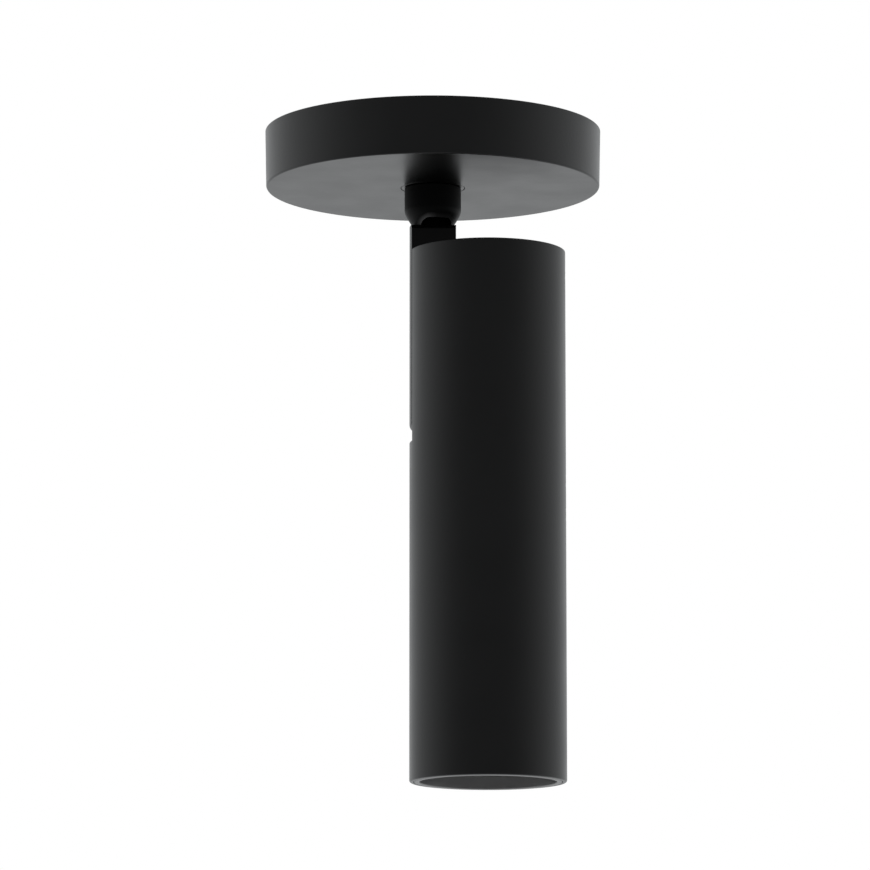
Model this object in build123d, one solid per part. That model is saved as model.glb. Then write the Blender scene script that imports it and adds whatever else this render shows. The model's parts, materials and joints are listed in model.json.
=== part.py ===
from build123d import *

import os
from math import asin, cos, degrees, hypot, radians, sin, sqrt, tan

# Surface mounted ceiling spotlight with a slotted tube head on a flush bar arm. Millimetres.
# Origin: centre of the ceiling face, on the canopy's axis. +Z points up into the ceiling.
# The arm hangs on the canopy's axis, the tilt axis runs along Y through the arm's lower end,
# and the tube's axis is set off towards +X so that the arm's outer face is flush with the tube.

# canopy and its bracket
canopy_diameter = 120.0
canopy_height = 20.5
canopy_draft = 0.4            # loss of radius from the ceiling to the underside
canopy_wall = 1.5
canopy_edge_round = 0.6
bracket_width = 24.0
bracket_thickness = 1.5
bracket_tab_width = 16.0
bracket_tab_drop = 14.0
bracket_tab_gap = 0.5         # from the tab's corners to the canopy's inner wall
bracket_neck_length = 4.0     # narrowed stretch of the strip before each tab
cable_hole_diameter = 16.0
ceiling_slot_spacing = 80.0
ceiling_slot_width = 4.5
ceiling_slot_length = 12.0
grub_screw_diameter = 4.0
grub_screw_length = 7.0
grub_screw_drop = 10.0
grub_socket_width = 2.0
grub_socket_depth = 1.5
grub_screw_sink = 0.2         # below the canopy's outer face

# swivel between canopy and neck
bush_diameter = 22.8
bush_gap = 0.12
bush_flange_diameter = 32.0
bush_flange_thickness = 1.5
bush_edge_chamfer = 0.25
swivel_gap = 0.15             # between the bush and the turning neck
neck_diameter = 20.2
neck_length = 14.4
neck_end_diameter = 13.9      # where the tapered end meets the arm
neck_taper_height = 5.0
neck_taper_round = 4.0        # eases the taper into the straight part
notch_width = 11.1
notch_height = 2.4
notch_round = 2.2
notch_wall = 0.6              # left round the nipple behind the notch
notch_turn = 15.0             # degrees from the front towards +X
nipple_diameter = 10.0
nipple_bore = 7.0
nipple_depth_in_arm = 12.0
nipple_stand = 1.0            # above the nut
keyway_width = 2.0
keyway_depth = 0.8
keyway_run_out = 1.0          # below the keyed washer
tongue_root = 1.0             # of the washer's key inside its rim
running_clearance = 0.06
fit_clearance = 0.05
pan_washer_diameter = 20.0
pan_washer_thickness = 1.0
stop_washer_diameter = 18.0
stop_washer_thickness = 1.2
stop_tab_reach = 15.0
stop_tab_width = 3.0
stop_pin_diameter = 2.5
stop_pin_circle = 13.0
stop_pin_stand = 3.2
pan_nut_width = 14.0
pan_nut_thickness = 3.0

# arm
arm_width = 16.6              # along X
arm_depth = 13.4              # along Y
pivot_drop = 83.9             # tilt axis below the canopy's underside
arm_tail = 4.0                # arm's end below the tilt axis
arm_end_round = 2.0
arm_edge_round = 0.5
arm_bevel_height = 1.3        # front and back of the arm's top, under the neck
arm_bevel_depth = 0.9
arm_bore = 7.5
window_width = 7.0
window_height = 22.0
window_above_pivot = 7.4

# tube head
tube_wall = 1.5
lamp_clearance = 1.3          # round the lamp inside the tube
tube_length = 190.0
tube_top_above_pivot = 60.5
tube_edge_chamfer = 0.3
tube_mouth_chamfer = 0.7      # outside of the lower rim
slot_gap = 0.3                # between the arm and the slot's sides
stop_gap = 0.3                # between the arm and the slot's end with the head level
wall_gap = 0.3                # inner pieces to the tube's wall
cap_depth = 1.5               # cap below the tube's rim
cap_thickness = 1.5
cap_notch_gap = 0.6
tab_width = 12.0
cap_tab_length = 14.0
plate_thickness = 1.5
plate_tab_length = 26.0
housing_screw_diameter = 3.0
housing_screw_head = 5.6
housing_screw_length = 6.0
housing_screw_sink = 0.1
housing_cross_length = 2.8
housing_cross_width = 0.7
housing_cross_depth = 0.8
cap_screw_drop = 8.0          # below the tube's rim
plate_screw_rises = (7.0, 19.0)

# hinge
hinge_bolt_diameter = 4.0
hinge_head_diameter = 7.0
hinge_head_thickness = 2.6
hinge_head_chamfer = 0.8
hinge_socket_width = 2.5
hinge_socket_depth = 1.4
hinge_bolt_tip = 0.3          # beyond the nut
hinge_nut_width = 7.0
hinge_nut_thickness = 2.2
hinge_washer_diameter = 9.0
hinge_washer_thickness = 0.5
friction_washer_gap = 0.28    # to the tube's wall
friction_washer_thickness = 0.5
bracket_sheet = 1.5
cheek_above_pivot = 7.5
cheek_width = 12.8
web_screw_spacing = 7.0
web_screw_diameter = 3.0
web_screw_head = 5.5
web_screw_tip = 1.5           # below the lampholder plate
screw_head_height = 2.0
screw_head_chamfer = 0.7
screw_slot_length = 3.4
screw_slot_width = 0.8
screw_slot_depth = 0.8

# lamp, its holder and the ring in the mouth
lamp_diameter = 50.0
lamp_length = 52.0
lamp_front_height = 6.0
lamp_waist_diameter = 30.0
lamp_waist_height = 22.0
lamp_base_diameter = 24.0
lamp_base_height = 11.0
lamp_rim_chamfer = 1.5
lamp_neck_swell = 2.5
lamp_neck_drop = 8.0
lens_diameter = 45.0
lens_thickness = 2.0
lens_recess = 0.8
lens_gap = 0.2
pin_spacing = 10.0
pin_diameter = 3.2
pin_head_diameter = 4.8
pin_head_height = 2.6
pin_length = 7.5
holder_diameter = 26.0
holder_height = 20.0
holder_edge_chamfer = 0.8
holder_pin_gap = 0.4          # round the pin heads and the contacts
holder_pin_depth_gap = 0.7
holder_pocket_depth = 6.0
holder_pocket_reach = 9.5     # beyond the tube's axis
holder_pocket_edge = 0.3      # outside the cable
holder_pocket_width = 13.4
holder_screw_spacing = 19.6
holder_screw_diameter = 2.8
holder_screw_depth = 8.0
contact_width = 4.0
contact_thickness = 1.0
contact_stand = 4.0
contact_foot_gap = 0.2        # above the pin heads
contact_foot_thickness = 0.45
seat_gap = 0.3
ring_height = 14.0
ring_wall = 1.9
ring_gap = 0.2
ring_edge_chamfer = 0.25
snap_ring_section = 1.0
snap_ring_opening = 8.0
snap_ring_cut_depth = 6.0

# wiring
cable_diameter = 5.4
core_diameter = 2.2
core_circle = 1.35            # cores' distance from the cable's axis
cable_top_depth = 14.0        # sheath's end below the ceiling
cable_straight_end = 72.0     # below the ceiling, where the flexible stretch starts
cable_gap = 2.0               # between the arm and the cable behind it
cable_bend_drops = (6.0, 24.0)
sheath_above_plate = 7.6
core_run_depth = 6.8          # below the ceiling
core_in_clamp = 2.0
core_straight_run = 3.5       # in front of the terminal block
core_lift = 0.55              # above the sheet it runs over
core_end_run = 1.5            # before the lampholder's contacts
cable_hole_gap = 0.4
block_length = 17.0
block_pitch = 8.0
block_base_height = 8.5
block_height = 12.0
block_x = 13.5
tower_diameter = 5.6
clamp_diameter = 4.4
clamp_bore = 2.8
clamp_length = 13.0
clamp_drop = 4.9              # below the bracket
clamp_screw_diameter = 2.6
clamp_screw_offset = 4.2
clamp_screw_gap = 0.2
clamp_screw_sink = 0.4
clamp_screw_slot_width = 0.5
clamp_screw_slot_depth = 0.7
fixing_screw_diameter = 2.9
fixing_head_diameter = 4.9
fixing_head_height = 1.6
fixing_slot_width = 0.6
fixing_slot_depth = 0.7
tapped_screw_sink = 0.2       # from the ceiling to the screws' tips
earth_x = -22.0
earth_screw_diameter = 4.0
earth_head_diameter = 8.0
earth_head_thickness = 2.6
earth_head_chamfer = 0.8
earth_cross_length = 4.4
earth_cross_width = 1.0
earth_cross_depth = 1.0
earth_washer_diameter = 9.0
earth_washer_thickness = 0.8
plate_earth_offset = 18.5     # from the tube's axis
lug_eye_radius = 4.0
lug_sheet = 0.8
lug_barrel_length = 2.6
lug_barrel_wall = 0.5
lug_neck_width = 3.0

# heights and places worked out from the sizes above
canopy_radius = canopy_diameter / 2
underside = -canopy_height
canopy_floor = underside + canopy_wall
neck_top = underside - swivel_gap
neck_bottom = neck_top - neck_length
flange_top = canopy_floor + bush_flange_thickness
pan_washer_top = flange_top + fit_clearance + pan_washer_thickness
stop_washer_top = pan_washer_top + stop_washer_thickness
pan_nut_top = stop_washer_top + pan_nut_thickness
nipple_top = pan_nut_top + nipple_stand
nipple_bottom = neck_bottom - nipple_depth_in_arm
pivot_z = underside - pivot_drop
arm_bottom = pivot_z - arm_tail
tube_inner = lamp_diameter / 2 + lamp_clearance
tube_radius = tube_inner + tube_wall
tube_diameter = 2 * tube_radius
tube_x = tube_radius - arm_width / 2
tube_top = pivot_z + tube_top_above_pivot
tube_bottom = tube_top - tube_length
cap_top = tube_top - cap_depth
ring_top = tube_bottom + ring_height
lamp_front = ring_top + seat_gap
lamp_top = lamp_front + lamp_length
holder_bottom = lamp_top + seat_gap
holder_top = holder_bottom + holder_height
plate_top = holder_top + plate_thickness
web_top = plate_top + bracket_sheet
sheath_end = plate_top + sheath_above_plate
cheek_face = arm_depth / 2 + fit_clearance + friction_washer_thickness
cheek_back = cheek_face + bracket_sheet
cheek_outer_x = tube_x - sqrt((tube_inner - wall_gap) ** 2 - cheek_back**2)
cheek_inner_x = cheek_outer_x + cheek_width
friction_washer_radius = sqrt(tube_inner**2 - cheek_face**2) - tube_x - friction_washer_gap
cable_x = arm_width / 2 + cable_gap + cable_diameter / 2
plate_earth_x = tube_x + plate_earth_offset
block_bottom = -bracket_thickness - block_height
front_to_x = -90.0 + notch_turn


def rod(radius, low, high, x=0.0, y=0.0):
    # upright cylinder between two heights
    return Pos(x, y, (low + high) / 2) * Cylinder(radius, high - low)


def rod_along_y(radius, low, high, x, z):
    return Pos(x, (low + high) / 2, z) * Rot(90, 0, 0) * Cylinder(radius, high - low)


def rod_along_x(radius, low, high, y, z):
    return Pos((low + high) / 2, y, z) * Rot(0, 90, 0) * Cylinder(radius, high - low)


def brick(x_low, x_high, y_half, z_low, z_high, y=0.0):
    # box that is centred across Y
    middle = Pos((x_low + x_high) / 2, y, (z_low + z_high) / 2)
    return middle * Box(x_high - x_low, 2 * y_half, z_high - z_low)


def hexagon(width, low, high):
    # upright hexagonal prism, flats facing +X and -X
    flat_sided = Rot(0, 0, 30) * RegularPolygon(width / 2, 6, major_radius=False)
    return Pos(0, 0, low) * extrude(flat_sided, high - low)


def turned(points, x=0.0):
    # solid of revolution from (radius, height) points
    profile = Plane.XZ * make_face(Polyline(*points, close=True))
    return Pos(x, 0, 0) * revolve(profile, Axis.Z)


def bend_radius(before, corner, after):
    # as large as 0.45 of the shorter run at this corner allows
    turn = (corner - before).get_angle(after - corner)
    shorter = min((corner - before).length, (after - corner).length)
    return 0.45 * shorter / tan(radians(turn) / 2)


def tube_along(points, radius):
    # round tube on straight runs joined by tangent arcs
    nodes = [Vector(*point) for point in points]
    radii = [bend_radius(*nodes[i - 1:i + 2]) for i in range(1, len(nodes) - 1)]
    path = FilletPolyline(*nodes, radius=radii)
    start = Plane(origin=nodes[0], z_dir=nodes[1] - nodes[0])
    print("bend radii", [round(r, 1) for r in radii], "run length", round(path.length, 1))
    return sweep(start * Circle(radius), path=path)


def core_places(x):
    # the three cores' centres in a cable whose axis is at x
    angles = [radians(120 * i) for i in range(3)]
    return [(x + core_circle * cos(a), core_circle * sin(a)) for a in angles]


# ---- canopy ----

def canopy_screw_cut(side):
    return rod_along_x(grub_screw_diameter / 2 + fit_clearance, min(side, 0) * canopy_radius,
                       max(side, 0) * canopy_radius, 0, -grub_screw_drop)


def canopy_cover():
    low = canopy_radius - canopy_draft
    form = Pos(0, 0, underside / 2) * Cone(low, canopy_radius, canopy_height)
    lower_edge = form.edges().filter_by(GeomType.CIRCLE).sort_by(Axis.Z)[0]
    form = fillet(lower_edge, canopy_edge_round)
    inside = Pos(0, 0, canopy_floor / 2) * Cone(low - canopy_wall, canopy_radius - canopy_wall,
                                                -canopy_floor)
    form -= inside
    form -= rod(bush_diameter / 2 + bush_gap, underside, canopy_floor)
    return form - canopy_screw_cut(1) - canopy_screw_cut(-1)


def tab_face():
    # outer face of the bracket's turned-down tabs, clear of the round wall at its corners
    inner_radius = canopy_radius - canopy_draft - canopy_wall
    return sqrt(inner_radius**2 - (bracket_tab_width / 2) ** 2) - bracket_tab_gap


def ceiling_bracket():
    reach = tab_face()
    strip = brick(-reach, reach, bracket_width / 2, -bracket_thickness, 0)
    neck_in = bracket_thickness + bracket_neck_length
    for side in (-1, 1):
        outer = side * reach
        inner = side * (reach - bracket_thickness)
        strip += brick(min(outer, inner), max(outer, inner), bracket_tab_width / 2,
                       -bracket_tab_drop, 0)
        for flank in (-1, 1):
            spare = (bracket_width - bracket_tab_width) / 4
            middle = flank * (bracket_tab_width / 2 + spare)
            strip -= Pos(side * (reach - neck_in / 2), middle, -bracket_thickness / 2) * Box(
                neck_in, 2 * spare, bracket_thickness)
        strip -= rod_along_x(grub_screw_diameter / 2 + fit_clearance, min(0, outer), max(0, outer),
                             0, -grub_screw_drop)
        slot = SlotOverall(ceiling_slot_length, ceiling_slot_width)
        strip -= Pos(side * ceiling_slot_spacing / 2, 0, -bracket_thickness) * extrude(
            slot, bracket_thickness)
    strip -= rod(cable_hole_diameter / 2, -bracket_thickness, 0)
    strip -= rod(fixing_screw_diameter / 2 + fit_clearance, -bracket_thickness, 0,
                 *fixing_screw_place())
    return strip - rod(earth_screw_diameter / 2 + fit_clearance, -bracket_thickness, 0, earth_x)


def canopy_grub_screws():
    outer = canopy_radius - canopy_draft - grub_screw_sink
    screws = []
    for side in (-1, 1):
        ends = sorted((side * outer, side * (outer - grub_screw_length)))
        screw = rod_along_x(grub_screw_diameter / 2, *ends, 0, -grub_screw_drop)
        socket = Rot(0, 90, 0) * extrude(
            RegularPolygon(grub_socket_width / 2, 6), grub_socket_depth, both=True)
        screws.append(screw - Pos(side * outer, 0, -grub_screw_drop) * socket)
    return screws


# ---- terminal block and wiring in the canopy ----

def pole_places():
    return [(i - 1) * block_pitch for i in range(3)]


def clamp_height():
    return -bracket_thickness - clamp_drop


def fixing_screw_place():
    return block_x + block_length / 2, block_pitch / 2


def clamp_screw_places():
    middle = block_x + block_length / 2
    return [(middle + side * clamp_screw_offset, y) for side in (-1, 1) for y in pole_places()]


def terminal_block():
    base_bottom = -bracket_thickness - block_base_height
    body = brick(block_x, block_x + block_length, 1.5 * block_pitch, base_bottom,
                 -bracket_thickness)
    for x, y in clamp_screw_places():
        body += rod(tower_diameter / 2, block_bottom, base_bottom, x, y)
    for x, y in clamp_screw_places():
        body -= rod(clamp_screw_diameter / 2 + clamp_screw_gap, block_bottom, clamp_height(), x, y)
    for y in pole_places():
        body -= rod_along_x(clamp_diameter / 2 + fit_clearance, block_x, block_x + block_length, y,
                            clamp_height())
    return body - rod(fixing_screw_diameter / 2 + fit_clearance, base_bottom, -bracket_thickness,
                      *fixing_screw_place())


def terminal_clamps():
    middle = block_x + block_length / 2
    clamps = []
    for y in pole_places():
        ends = (middle - clamp_length / 2, middle + clamp_length / 2, y, clamp_height())
        clamp = rod_along_x(clamp_diameter / 2, *ends) - rod_along_x(clamp_bore / 2, *ends)
        for side in (-1, 1):
            x = middle + side * clamp_screw_offset
            clamp -= rod(clamp_screw_diameter / 2 + fit_clearance, block_bottom, clamp_height(),
                         x, y)
        clamps.append(clamp)
    return clamps


def terminal_screws():
    tip = clamp_height() - core_diameter / 2 - fit_clearance
    screws = []
    for x, y in clamp_screw_places():
        face = block_bottom + clamp_screw_sink
        screw = rod(clamp_screw_diameter / 2, face, tip, x, y)
        screws.append(screw - Pos(x, y, face) * Box(clamp_screw_diameter, clamp_screw_slot_width,
                                                    2 * clamp_screw_slot_depth))
    return screws


def terminal_fixing_screw():
    x, y = fixing_screw_place()
    base_bottom = -bracket_thickness - block_base_height
    face = base_bottom - fixing_head_height
    screw = rod(fixing_screw_diameter / 2, base_bottom, -tapped_screw_sink, x, y)
    screw += rod(fixing_head_diameter / 2, face, base_bottom, x, y)
    return screw - Pos(x, y, face) * Box(fixing_slot_width, fixing_head_diameter,
                                         2 * fixing_slot_depth)


def earth_washer():
    under = -bracket_thickness
    return rod(earth_washer_diameter / 2, under - earth_washer_thickness, under, earth_x) - rod(
        earth_screw_diameter / 2 + fit_clearance, under - earth_washer_thickness, under, earth_x)


def earth_screw():
    seat = -bracket_thickness - earth_washer_thickness
    head = rod(earth_head_diameter / 2, seat - earth_head_thickness, seat, earth_x)
    head = chamfer(head.edges().filter_by(GeomType.CIRCLE).sort_by(Axis.Z)[0], earth_head_chamfer)
    bar = Box(earth_cross_length, earth_cross_width, 2 * earth_cross_depth)
    cross = Pos(earth_x, 0, seat - earth_head_thickness) * (bar + Rot(0, 0, 90) * bar)
    return head + rod(earth_screw_diameter / 2, seat, -tapped_screw_sink, earth_x) - cross


def connection_leads():
    # three cores from the cable's end up out of the nipple and over to the terminal block
    tip = block_x + (block_length - clamp_length) / 2 + core_in_clamp
    leads = []
    for (x, y), pole in zip(sorted(core_places(0.0), key=lambda place: place[1]), pole_places()):
        leads.append(tube_along([(x, y, -cable_top_depth), (x, y, -core_run_depth),
                                 (block_x - core_straight_run, pole, clamp_height()),
                                 (tip, pole, clamp_height())], core_diameter / 2))
    return leads


# ---- swivel ----

def swivel_bush():
    disc = rod(bush_diameter / 2, underside, canopy_floor)
    disc = chamfer(disc.edges().filter_by(GeomType.CIRCLE).sort_by(Axis.Z)[0], bush_edge_chamfer)
    disc += rod(bush_flange_diameter / 2, canopy_floor, flange_top)
    disc -= rod(stop_pin_diameter / 2 + fit_clearance, canopy_floor, flange_top, -stop_pin_circle)
    return disc - rod(nipple_diameter / 2 + running_clearance, underside, flange_top)


def stop_pin():
    return rod(stop_pin_diameter / 2, canopy_floor, flange_top + stop_pin_stand, -stop_pin_circle)


def neck_sleeve():
    # straight round neck with a tapered lower end, open at the front in a rounded notch
    taper_top = neck_bottom + neck_taper_height
    bore = nipple_diameter / 2 + fit_clearance
    radius, end_radius = neck_diameter / 2, neck_end_diameter / 2
    sleeve = turned([(bore, neck_top), (radius, neck_top), (radius, taper_top),
                     (end_radius, neck_bottom), (bore, neck_bottom)])
    taper_edge = [edge for edge in sleeve.edges().filter_by(GeomType.CIRCLE)
                  if abs(edge.center().Z - taper_top) < neck_taper_height / 4]
    sleeve = fillet(taper_edge, neck_taper_round)
    arch = Plane.YZ * Pos(0, neck_bottom) * RectangleRounded(notch_width, 2 * notch_height,
                                                             notch_round)
    cutter = Pos(bore + notch_wall, 0, 0) * extrude(arch, neck_diameter)
    return sleeve - Rot(0, 0, front_to_x) * cutter


def threaded_nipple():
    tube = rod(nipple_diameter / 2, nipple_bottom, nipple_top) - rod(
        nipple_bore / 2, nipple_bottom, nipple_top)
    keyway = brick(nipple_diameter / 2 - keyway_depth, nipple_diameter / 2, keyway_width / 2,
                   pan_washer_top - keyway_run_out, nipple_top)
    return tube - keyway


def pan_washer():
    low = flange_top + fit_clearance
    return rod(pan_washer_diameter / 2, low, pan_washer_top) - rod(
        nipple_diameter / 2 + fit_clearance, low, pan_washer_top)


def stop_washer():
    # keyed to the nipple; its tab meets the stop pin at the end of the turn
    disc = rod(stop_washer_diameter / 2, pan_washer_top, stop_washer_top)
    disc += brick(0, stop_tab_reach, stop_tab_width / 2, pan_washer_top, stop_washer_top)
    disc -= rod(nipple_diameter / 2 + fit_clearance, pan_washer_top, stop_washer_top)
    tongue_inner = nipple_diameter / 2 - keyway_depth + fit_clearance
    return disc + brick(tongue_inner, nipple_diameter / 2 + tongue_root,
                        keyway_width / 2 - fit_clearance, pan_washer_top, stop_washer_top)


def pan_nut():
    return hexagon(pan_nut_width, stop_washer_top, pan_nut_top) - rod(
        nipple_diameter / 2 + fit_clearance, stop_washer_top, pan_nut_top)


# ---- arm ----

def arm():
    bar = brick(-arm_width, arm_width / 2, arm_depth / 2, arm_bottom, neck_bottom)
    bar &= rod(tube_radius, arm_bottom, neck_bottom, tube_x)
    for side in (-1, 1):
        face = side * arm_depth / 2
        bevel = make_face(Polyline((face, neck_bottom), (face - side * arm_bevel_depth, neck_bottom),
                                   (face, neck_bottom - arm_bevel_height), close=True))
        bar -= extrude(Plane.YZ * bevel, arm_width, both=True)
    bar = fillet(bar.edges().filter_by(Axis.Z), arm_edge_round)
    ends = bar.faces().sort_by(Axis.Z)[0].edges().sort_by(Axis.X)
    bar = fillet([ends[0], ends[-1]], arm_end_round)
    bar -= rod(nipple_diameter / 2 + fit_clearance, nipple_bottom, neck_bottom)
    window_bottom = pivot_z + window_above_pivot
    window_top = window_bottom + window_height
    bar -= rod(arm_bore / 2, window_bottom + window_height / 2, nipple_bottom)
    bar -= brick(0, arm_width / 2, window_width / 2, window_bottom, window_top)
    return bar - rod_along_y(hinge_bolt_diameter / 2 + running_clearance, -arm_depth / 2,
                             arm_depth / 2, 0, pivot_z)


def arm_cable():
    return rod(cable_diameter / 2, -cable_straight_end, -cable_top_depth)


# ---- tube head ----

def housing_screw_heights():
    return [tube_top - cap_screw_drop] + [plate_top + rise for rise in plate_screw_rises]


def housing_screw(height, extra=0.0):
    # countersunk screw that lies along X, its head flush with the tube
    face = tube_x + tube_radius - housing_screw_sink + extra
    shaft = rod_along_x(housing_screw_diameter / 2 + extra, face - housing_screw_length, face, 0,
                        height)
    sink = (housing_screw_head - housing_screw_diameter) / 2
    head = Pos(face - sink / 2, 0, height) * Rot(0, 90, 0) * Cone(
        housing_screw_diameter / 2 + extra, housing_screw_head / 2 + extra, sink)
    return shaft + head


def tube_housing():
    # turned tube with chamfered rims, slotted from the top for the arm
    edge, mouth = tube_edge_chamfer, tube_mouth_chamfer
    tube = turned([(tube_inner, tube_bottom + edge), (tube_inner + edge, tube_bottom),
                   (tube_radius - mouth, tube_bottom), (tube_radius, tube_bottom + mouth),
                   (tube_radius, tube_top - edge), (tube_radius - edge, tube_top),
                   (tube_inner + edge, tube_top), (tube_inner, tube_top - edge)], tube_x)
    slot_half = arm_depth / 2 + slot_gap
    slot_end = pivot_z - arm_width / 2 - stop_gap
    tube -= brick(tube_x - tube_diameter, 0, slot_half, slot_end, tube_top)
    for height in housing_screw_heights():
        tube -= housing_screw(height, fit_clearance)
    return tube


def wall_tab(low, high):
    # strip of sheet that hugs the tube's wall on the side opposite the slot
    outer = tube_inner - wall_gap
    shell = rod(outer, low, high, tube_x) - rod(outer - plate_thickness, low, high, tube_x)
    return shell & brick(tube_x, tube_x + tube_radius, tab_width / 2, low, high)


def top_cap():
    outer = tube_inner - wall_gap
    low = cap_top - cap_thickness
    disc = rod(outer, low, cap_top, tube_x)
    notch_half = arm_depth / 2 + cap_notch_gap
    disc -= brick(tube_x - tube_diameter, arm_width / 2 + stop_gap, notch_half, low, cap_top)
    disc += wall_tab(cap_top - cap_tab_length, cap_top)
    return disc - rod_along_x(housing_screw_diameter / 2 + fit_clearance, tube_x,
                              tube_x + tube_radius, 0, tube_top - cap_screw_drop)


def lampholder_plate():
    outer = tube_inner - wall_gap
    disc = rod(outer, holder_top, plate_top, tube_x)
    disc += wall_tab(holder_top, holder_top + plate_tab_length)
    disc -= rod(cable_diameter / 2 + cable_hole_gap, holder_top, plate_top, cable_x)
    for x, y in holder_screw_places():
        disc -= rod(holder_screw_diameter / 2 + fit_clearance, holder_top, plate_top, x, y)
    for x, y in web_screw_places():
        disc -= rod(web_screw_diameter / 2 + fit_clearance, holder_top, plate_top, x, y)
    disc -= rod(web_screw_diameter / 2 + fit_clearance, holder_top, plate_top, plate_earth_x)
    for rise in plate_screw_rises:
        disc -= rod_along_x(housing_screw_diameter / 2 + fit_clearance, tube_x,
                            tube_x + tube_radius, 0, plate_top + rise)
    return disc


def housing_screws():
    screws = []
    for height in housing_screw_heights():
        face = tube_x + tube_radius - housing_screw_sink
        bar = Box(2 * housing_cross_depth, housing_cross_length, housing_cross_width)
        cross = bar + Rot(90, 0, 0) * bar
        screws.append(housing_screw(height) - Pos(face, 0, height) * cross)
    return screws


# ---- hinge ----

def web_screw_places():
    middle = (cheek_outer_x + cheek_inner_x) / 2
    return [(middle, side * web_screw_spacing / 2) for side in (-1, 1)]


def hinge_bracket():
    # U-shaped sheet: a web on the lampholder plate and two cheeks up beside the arm
    web = brick(cheek_outer_x, cheek_inner_x, cheek_back, plate_top, web_top)
    crown = (cheek_inner_x - cheek_outer_x) / 2
    middle = (cheek_inner_x + cheek_outer_x) / 2
    for side in (-1, 1):
        y_low, y_high = sorted((side * cheek_face, side * cheek_back))
        cheek = brick(cheek_outer_x, cheek_inner_x, bracket_sheet / 2, plate_top,
                      pivot_z + cheek_above_pivot - crown, side * (cheek_face + bracket_sheet / 2))
        cheek += rod_along_y(crown, y_low, y_high, middle, pivot_z + cheek_above_pivot - crown)
        web += cheek
    web -= rod_along_y(hinge_bolt_diameter / 2 + fit_clearance, -cheek_back, cheek_back, 0, pivot_z)
    for x, y in web_screw_places():
        web -= rod(web_screw_diameter / 2 + fit_clearance, plate_top, web_top, x, y)
    return web


def slotted_screw(diameter, head_diameter, tip, seat, x, y=0.0):
    # upright screw whose chamfered head rests on the seat, with a driver slot across it
    face = seat + screw_head_height
    head = rod(head_diameter / 2, seat, face, x, y)
    head = chamfer(head.edges().filter_by(GeomType.CIRCLE).sort_by(Axis.Z)[-1],
                   screw_head_chamfer)
    slot = Box(screw_slot_width, screw_slot_length, 2 * screw_slot_depth)
    return rod(diameter / 2, tip, seat, x, y) + head - Pos(x, y, face) * slot


def bracket_screws():
    tip = holder_top - web_screw_tip
    return [slotted_screw(web_screw_diameter, web_screw_head, tip, web_top, x, y)
            for x, y in web_screw_places()]


def friction_washers():
    washers = []
    for side in (-1, 1):
        ends = sorted((side * (cheek_face - friction_washer_thickness), side * cheek_face))
        washers.append(rod_along_y(friction_washer_radius, *ends, 0, pivot_z) - rod_along_y(
            hinge_bolt_diameter / 2 + fit_clearance, *ends, 0, pivot_z))
    return washers


def hinge_washer():
    ends = (cheek_back, cheek_back + hinge_washer_thickness)
    return rod_along_y(hinge_washer_diameter / 2, *ends, 0, pivot_z) - rod_along_y(
        hinge_bolt_diameter / 2 + fit_clearance, *ends, 0, pivot_z)


def hinge_bolt():
    tip = cheek_back + hinge_washer_thickness + hinge_nut_thickness + hinge_bolt_tip
    shaft = rod_along_y(hinge_bolt_diameter / 2, -cheek_back, tip, 0, pivot_z)
    head = rod_along_y(hinge_head_diameter / 2, -cheek_back - hinge_head_thickness, -cheek_back, 0,
                       pivot_z)
    head = chamfer(head.edges().filter_by(GeomType.CIRCLE).sort_by(Axis.Y)[0],
                   hinge_head_chamfer)
    socket = Pos(0, -cheek_back - hinge_head_thickness, pivot_z) * Rot(90, 0, 0) * extrude(
        RegularPolygon(hinge_socket_width / 2, 6, major_radius=False), hinge_socket_depth,
        both=True)
    return shaft + head - socket


def hinge_nut():
    low = cheek_back + hinge_washer_thickness
    nut = hexagon(hinge_nut_width, 0, hinge_nut_thickness)
    nut = Pos(0, low + hinge_nut_thickness, pivot_z) * Rot(90, 0, 0) * nut
    return nut - rod_along_y(hinge_bolt_diameter / 2 + fit_clearance, low,
                             low + hinge_nut_thickness, 0, pivot_z)


# ---- lampholder ----

def holder_screw_places():
    return [(tube_x, side * holder_screw_spacing / 2) for side in (-1, 1)]


def pin_places():
    return [(tube_x, side * pin_spacing / 2) for side in (-1, 1)]


def lampholder():
    body = rod(holder_diameter / 2, holder_bottom, holder_top, tube_x)
    body = chamfer(body.edges().filter_by(GeomType.CIRCLE).sort_by(Axis.Z)[0],
                   holder_edge_chamfer)
    body -= brick(cable_x - cable_diameter / 2 - holder_pocket_edge, tube_x + holder_pocket_reach,
                  holder_pocket_width / 2, holder_top - holder_pocket_depth, holder_top)
    for x, y in pin_places():
        body -= rod(pin_head_diameter / 2 + holder_pin_gap, holder_bottom,
                    holder_bottom + pin_length + holder_pin_depth_gap, x, y)
        body -= Pos(x, y, (holder_bottom + holder_top) / 2) * Box(
            contact_width + holder_pin_gap, contact_thickness + holder_pin_gap, holder_height / 2)
    for x, y in holder_screw_places():
        body -= rod(holder_screw_diameter / 2 + fit_clearance,
                    holder_top - holder_screw_depth - seat_gap, holder_top, x, y)
    return body


def lampholder_contacts():
    foot_low = holder_bottom + pin_length + contact_foot_gap
    top = holder_top - holder_pocket_depth + contact_stand
    contacts = []
    for x, y in pin_places():
        strip = Pos(x, y, (foot_low + top) / 2) * Box(contact_width, contact_thickness,
                                                      top - foot_low)
        contacts.append(strip + rod(pin_head_diameter / 2, foot_low,
                                    foot_low + contact_foot_thickness, x, y))
    return contacts


def lampholder_screws():
    tip = holder_top - holder_screw_depth
    return [slotted_screw(holder_screw_diameter, 2 * holder_screw_diameter, tip, plate_top, x, y)
            for x, y in holder_screw_places()]


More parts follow.
